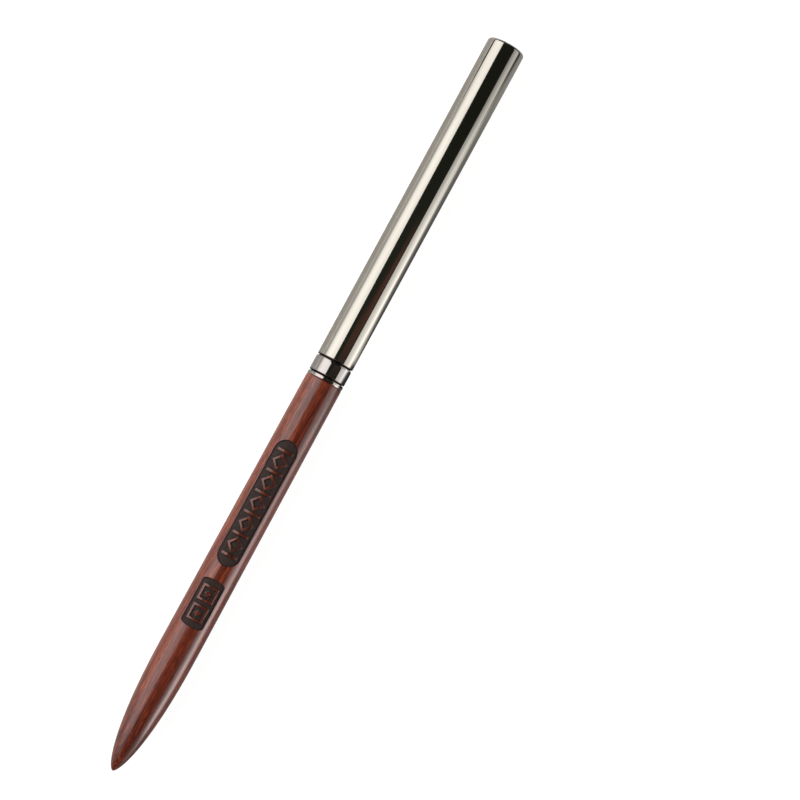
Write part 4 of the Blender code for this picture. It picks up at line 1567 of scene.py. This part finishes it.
ROSY: Colour = (1.0, 0.83, 0.80)
WHOLE = (-0.75, 0.45)  # X of the ends of a sheet that passes the whole brush
UPPER_GLOW = 0.0079
LIGHTS = (
    # On each side, from the floor up: one sheet beside the wood and one beside the metal.
    LightSheet("left_wood_light", Side.LEFT, (-0.45, -0.30, -0.20, 0.03), (
        (0, 0.2, 0.35, 0.52, 0.52), (14.5, 0.2, 0.35, 0.5, 0.5), (23, 0.3, 0.65, 1.3, 1.3),
        (30, 0.3, 0.75, 1.55, 1.55), (44, 0.3, 0.85, 1.75, 1.75), (57, 0.3, 0.75, 1.6, 1.6),
        (69, 0.2, 0.6, 1.4, 1.4)), colour=ROSY, crest=(1, 2, 3, 7)),
    LightSheet("left_light", Side.LEFT, (0.03, 0.045, 0.14, 0.165, 0.45), (
        (0, 0.5, 0.5, 0.5, 0.04, 0.04), (3.5, 0.5, 0.5, 0.5, 0.04, 0.04),
        (8.5, 0.48, 0.48, 0.48, 0.04, 0.04), (10.5, 0.48, 0.48, 0.48, 0.9, 0.9),
        (14.5, 0.48, 0.48, 0.48, 1.15, 1.15), (23, 1.17, 1.17, 1.17, 1.3, 1.3),
        (30, 1.36, 1.36, 1.34, 1.34, 1.34), (44, 1.5, 1.5, 1.46, 1.4, 1.4),
        (57, 1.4, 1.4, 1.36, 1.33, 1.33), (69, 1.2, 1.2, 1.15, 1.1, 1.1)),
        crest=(7, 8, 0, -3, -3)),
    LightSheet("right_wood_light", Side.RIGHT, (-0.45, -0.225, -0.19, -0.07, -0.045, -0.01, 0.03), (
        (0, 0.2, 0.9, 5.4, 4.9, 3.8, 2.5, 1.7), (8, 0.2, 0.9, 5, 4.6, 3.3, 2.1, 1.25),
        (16, 0.2, 0.6, 3, 2.7, 2, 1.5, 1.05), (26, 0.2, 0.4, 1.3, 1.3, 1.1, 1, 0.95),
        (35, 0.2, 0.3, 0.6, 0.6, 0.6, 0.6, 0.75), (39.5, 0.2, 0.3, 0.4, 0.4, 0.4, 0.4, 0.4)),
        colour=ROSY, crest=(0, 0, 0, 0, -1, -2, -4)),
    LightSheet("right_light", Side.RIGHT, (0.03, 0.10, 0.145, 0.165, 0.45), (
        (0, 1.35, 1.3, 0.95, 0.05, 0.05), (4, 1.28, 1.25, 0.9, 0.62, 0.6),
        (8, 1.2, 1.2, 0.76, 0.66, 0.6), (16, 1, 0.95, 0.7, 0.66, 0.6),
        (26, 0.92, 0.75, 0.5, 0.5, 0.5), (35, 0.75, 0.68, 0.36, 0.4, 0.4),
        (39.5, 0.4, 0.5, 0.26, 0.28, 0.3)), crest=(-4, -3, -1, 0, 0)),
    # Just above the floor: what the right side of the wood and of the metal mirrors of it.
    LightSheet("right_wood_floor", Side.RIGHT, (-0.45, -0.13, -0.095, -0.045, -0.005), (
        (5, 0.1, 0.2, 0.2, 0.2, 0.2), (19, 0.1, 0.2, 0.2, 0.2, 0.5), (28, 0.1, 0.2, 0.4, 0.5, 1.6),
        (50, 0.2, 0.5, 1.9, 2.5, 2.6), (105, 0.3, 0.8, 4.4, 4.4, 2.8),
        (420, 0.4, 4.4, 4.8, 4.2, 2.6)), Stand.FLAT, ROSY, reach=Reach.MIRRORED),
    LightSheet("right_floor", Side.RIGHT,
               (-0.005, 0.004, 0.0065, 0.0112, 0.0135, 0.03, 0.06, 0.080, 0.094, 0.45), (
        (5, 0.2, 0.2, 0.02, 0.02, 0.03, 0.06, 0.16, 0.33, 0.33, 0.33),
        (14, 0.3, 0.2, 0.02, 0.1, 0.75, 0.2, 0.19, 0.34, 0.33, 0.33),
        (19, 0.5, 0.3, 0.03, 0.6, 1.15, 0.5, 0.33, 0.28, 0.28, 0.28),
        (28, 1.6, 1.2, 0.15, 1.1, 1.4, 1.4, 0.65, 0.24, 0.05, 0.05),
        (50, 2.6, 2, 0.7, 1.45, 1.7, 1.8, 1.1, 0.52, 0.03, 0.03),
        (105, 2.8, 2.4, 1.2, 1.5, 1.6, 1.6, 1.3, 0.9, 0.03, 0.03),
        (420, 2.6, 2.2, 1.3, 1.37, 1.4, 1.4, 1.15, 0.95, 0.4, 0.05)),
        Stand.FLAT, reach=Reach.MIRRORED),
    # Light for matt surfaces alone.
    LightSheet("left_fill", Side.LEFT, WHOLE, ((12, 3.4, 3.4), (52, 3.4, 3.4)),
               distance=0.36, reach=Reach.MATT),
    LightSheet("right_fill", Side.RIGHT, WHOLE, ((0, 2.0, 2.0), (28, 2.0, 2.0)),
               distance=0.36, reach=Reach.MATT),
    # The dim room that the top of the cap and collar mirrors.
    LightSheet("brown_room", Side.RIGHT, (0.03, 0.048, 0.065, 0.08, 0.10), (
        (42, 0, 0.052, 0.07, 0.075, 0.01), (56, 0, 0.052, 0.068, 0.062, 0),
        (66, 0, 0.052, 0.035, 0.004, 0), (77, 0.014, 0.054, 0.004, 0, 0),
        (86, 0, 0, 0, 0, 0)), colour=(1.0, 0.29, 0.21), clear=True),
    LightSheet("upper_room", Side.RIGHT, (-0.75, 0.095, 0.138),
               tuple((angle, UPPER_GLOW, UPPER_GLOW, 0.0) for angle in (40, 61, 82, 103, 125)),
               colour=(0.82, 1.0, 0.76), reach=Reach.MIRRORED, clear=True),
)


@dataclass(frozen=True)
class Studio:
    """The floor, the lights and the camera.

    Attributes:
        axis: The line through the middle of the brush.
        floor_reach: Half of the floor's width.
        station: Station of the point that the camera looks at.
        offset: Y of that point from the brush.
        distance: How far the camera is from that point.
        tilt: How far the camera leans towards the tail, in degrees.
        turn: How far the picture's right is turned from X towards -Y, in degrees.
        lens: The camera's focal length in millimetres.
        floor_matt: Colour of the floor for the object.
        floor_seen: Colour of the floor for the eye, besides its glow.
        floor_glow: Light that the floor gives to the eye.
        room_dark: Colour of the room for the object.
        room_pale: Colour of the room for the eye.
        warm: Lines of the warm light past the cap: X, height, half width and glow.
        warm_side: Y of the warm light's middle.
        warm_colour: Colour of the warm light.
    """

    axis: Axis
    floor_reach: float = 3.0
    station: float = 94.55 * MM
    offset: float = -15.55 * MM
    distance: float = 0.517
    tilt: float = 4.0
    turn: float = 61.54
    lens: float = 112.7
    floor_matt: Colour = (0.47, 0.465, 0.455)
    floor_seen: Colour = (0.20, 0.197, 0.193)
    floor_glow: float = 0.95
    room_dark: Colour = (0.0136, 0.0142, 0.011)
    room_pale: Colour = (0.97, 0.97, 0.97)
    warm: tuple[tuple[float, float, float, float], ...] = (
        (0.235, 0.42, 0.003, 0.0), (0.285, 0.40, 0.004, 0.16),
        (0.33, 0.38, 0.007, 0.34), (0.40, 0.35, 0.010, 0.36))
    warm_side: float = 0.0144
    warm_colour: Colour = (1.0, 0.44, 0.12)

    def floor(self) -> None:
        """Add the pale floor: plain matt grey for the object, near white for the eye."""
        reach = self.floor_reach
        mesh = bpy.data.meshes.new("floor")
        corners = [(-reach, -reach, 0), (reach, -reach, 0), (reach, reach, 0), (-reach, reach, 0)]
        mesh.from_pydata(corners, [], [(0, 1, 2, 3)])
        graph = Graph("pale_floor")
        seen = graph.add("ShaderNodeLightPath").outputs["Is Camera Ray"]
        matt, pale = (graph.add("ShaderNodeBsdfDiffuse", {"Color": (*colour, 1.0)}).outputs[0]
                      for colour in (self.floor_matt, self.floor_seen))
        lit = graph.add("ShaderNodeEmission", {"Strength": self.floor_glow}).outputs[0]
        paler = graph.add("ShaderNodeAddShader", {0: pale, 1: lit}).outputs[0]
        graph.show(graph.add("ShaderNodeMixShader", {0: seen, 1: matt, 2: paler}))
        mesh.materials.append(graph.material)
        floor = placed("floor", mesh)

    def surroundings(self) -> None:
        """Make the room dark to the metal, and pale behind the floor's far edge."""
        world = bpy.data.worlds.new("room")
        bpy.context.scene.world = world
        world.use_nodes = True
        nodes, links = world.node_tree.nodes, world.node_tree.links
        both = nodes.new("ShaderNodeMixShader")
        links.new(nodes.new("ShaderNodeLightPath").outputs["Is Camera Ray"], both.inputs[0])
        for number, colour in enumerate((self.room_dark, self.room_pale), 1):
            shade = nodes.new("ShaderNodeBackground")
            shade.inputs["Color"].default_value = (*colour, 1.0)
            links.new(shade.outputs[0], both.inputs[number])
        links.new(both.outputs[0], nodes["World Output"].inputs["Surface"])

    def lights(self) -> None:
        """Add the light sheets beside the brush, and the warm light past the cap's end."""
        for sheet in LIGHTS:
            sheet.build()
        x, height, half, glow = np.array(self.warm).T[:, :, None]
        side = self.warm_side + half * np.array([-1.0, 1.0])
        points = np.stack(np.broadcast_arrays(x, side, height), axis=-1)
        glowing_sheet("warm_light", points, np.broadcast_to(glow, side.shape), self.warm_colour)

    def camera(self) -> None:
        """Add the camera, almost straight above the brush."""
        tilt, turn = np.radians(self.tilt), np.radians(self.turn)
        back = Vector((-np.sin(tilt), 0.0, np.cos(tilt)))
        along = Vector((np.cos(tilt), 0.0, np.sin(tilt)))
        across = Vector((0.0, 1.0, 0.0))
        right = np.cos(turn) * along - np.sin(turn) * across
        up = np.sin(turn) * along + np.cos(turn) * across
        target = Vector((self.axis.tail + self.station, self.axis.side + self.offset,
                         self.axis.height))
        data = bpy.data.cameras.new("camera")
        data.lens = self.lens
        camera = placed("camera", data)
        rotation = Matrix((right, up, back)).transposed().to_4x4()
        camera.matrix_world = Matrix.Translation(target + self.distance * back) @ rotation
        bpy.context.scene.camera = camera

    def build(self) -> None:
        """Add everything round the brush."""
        self.floor()
        self.surroundings()
        self.lights()
        self.camera()
        bpy.context.scene.view_settings.view_transform = "Standard"


def main() -> None:
    """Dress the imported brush, then add the studio."""
    logging.basicConfig(level=logging.INFO, format="%(name)s: %(message)s")
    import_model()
    axis = Axis.of_handle()
    for assembly in (Handle(axis), Collar(axis), Joint(axis), Head(axis), Cap(axis)):
        assembly.build()
    Studio(axis).build()


if __name__ == "__main__":
    main()
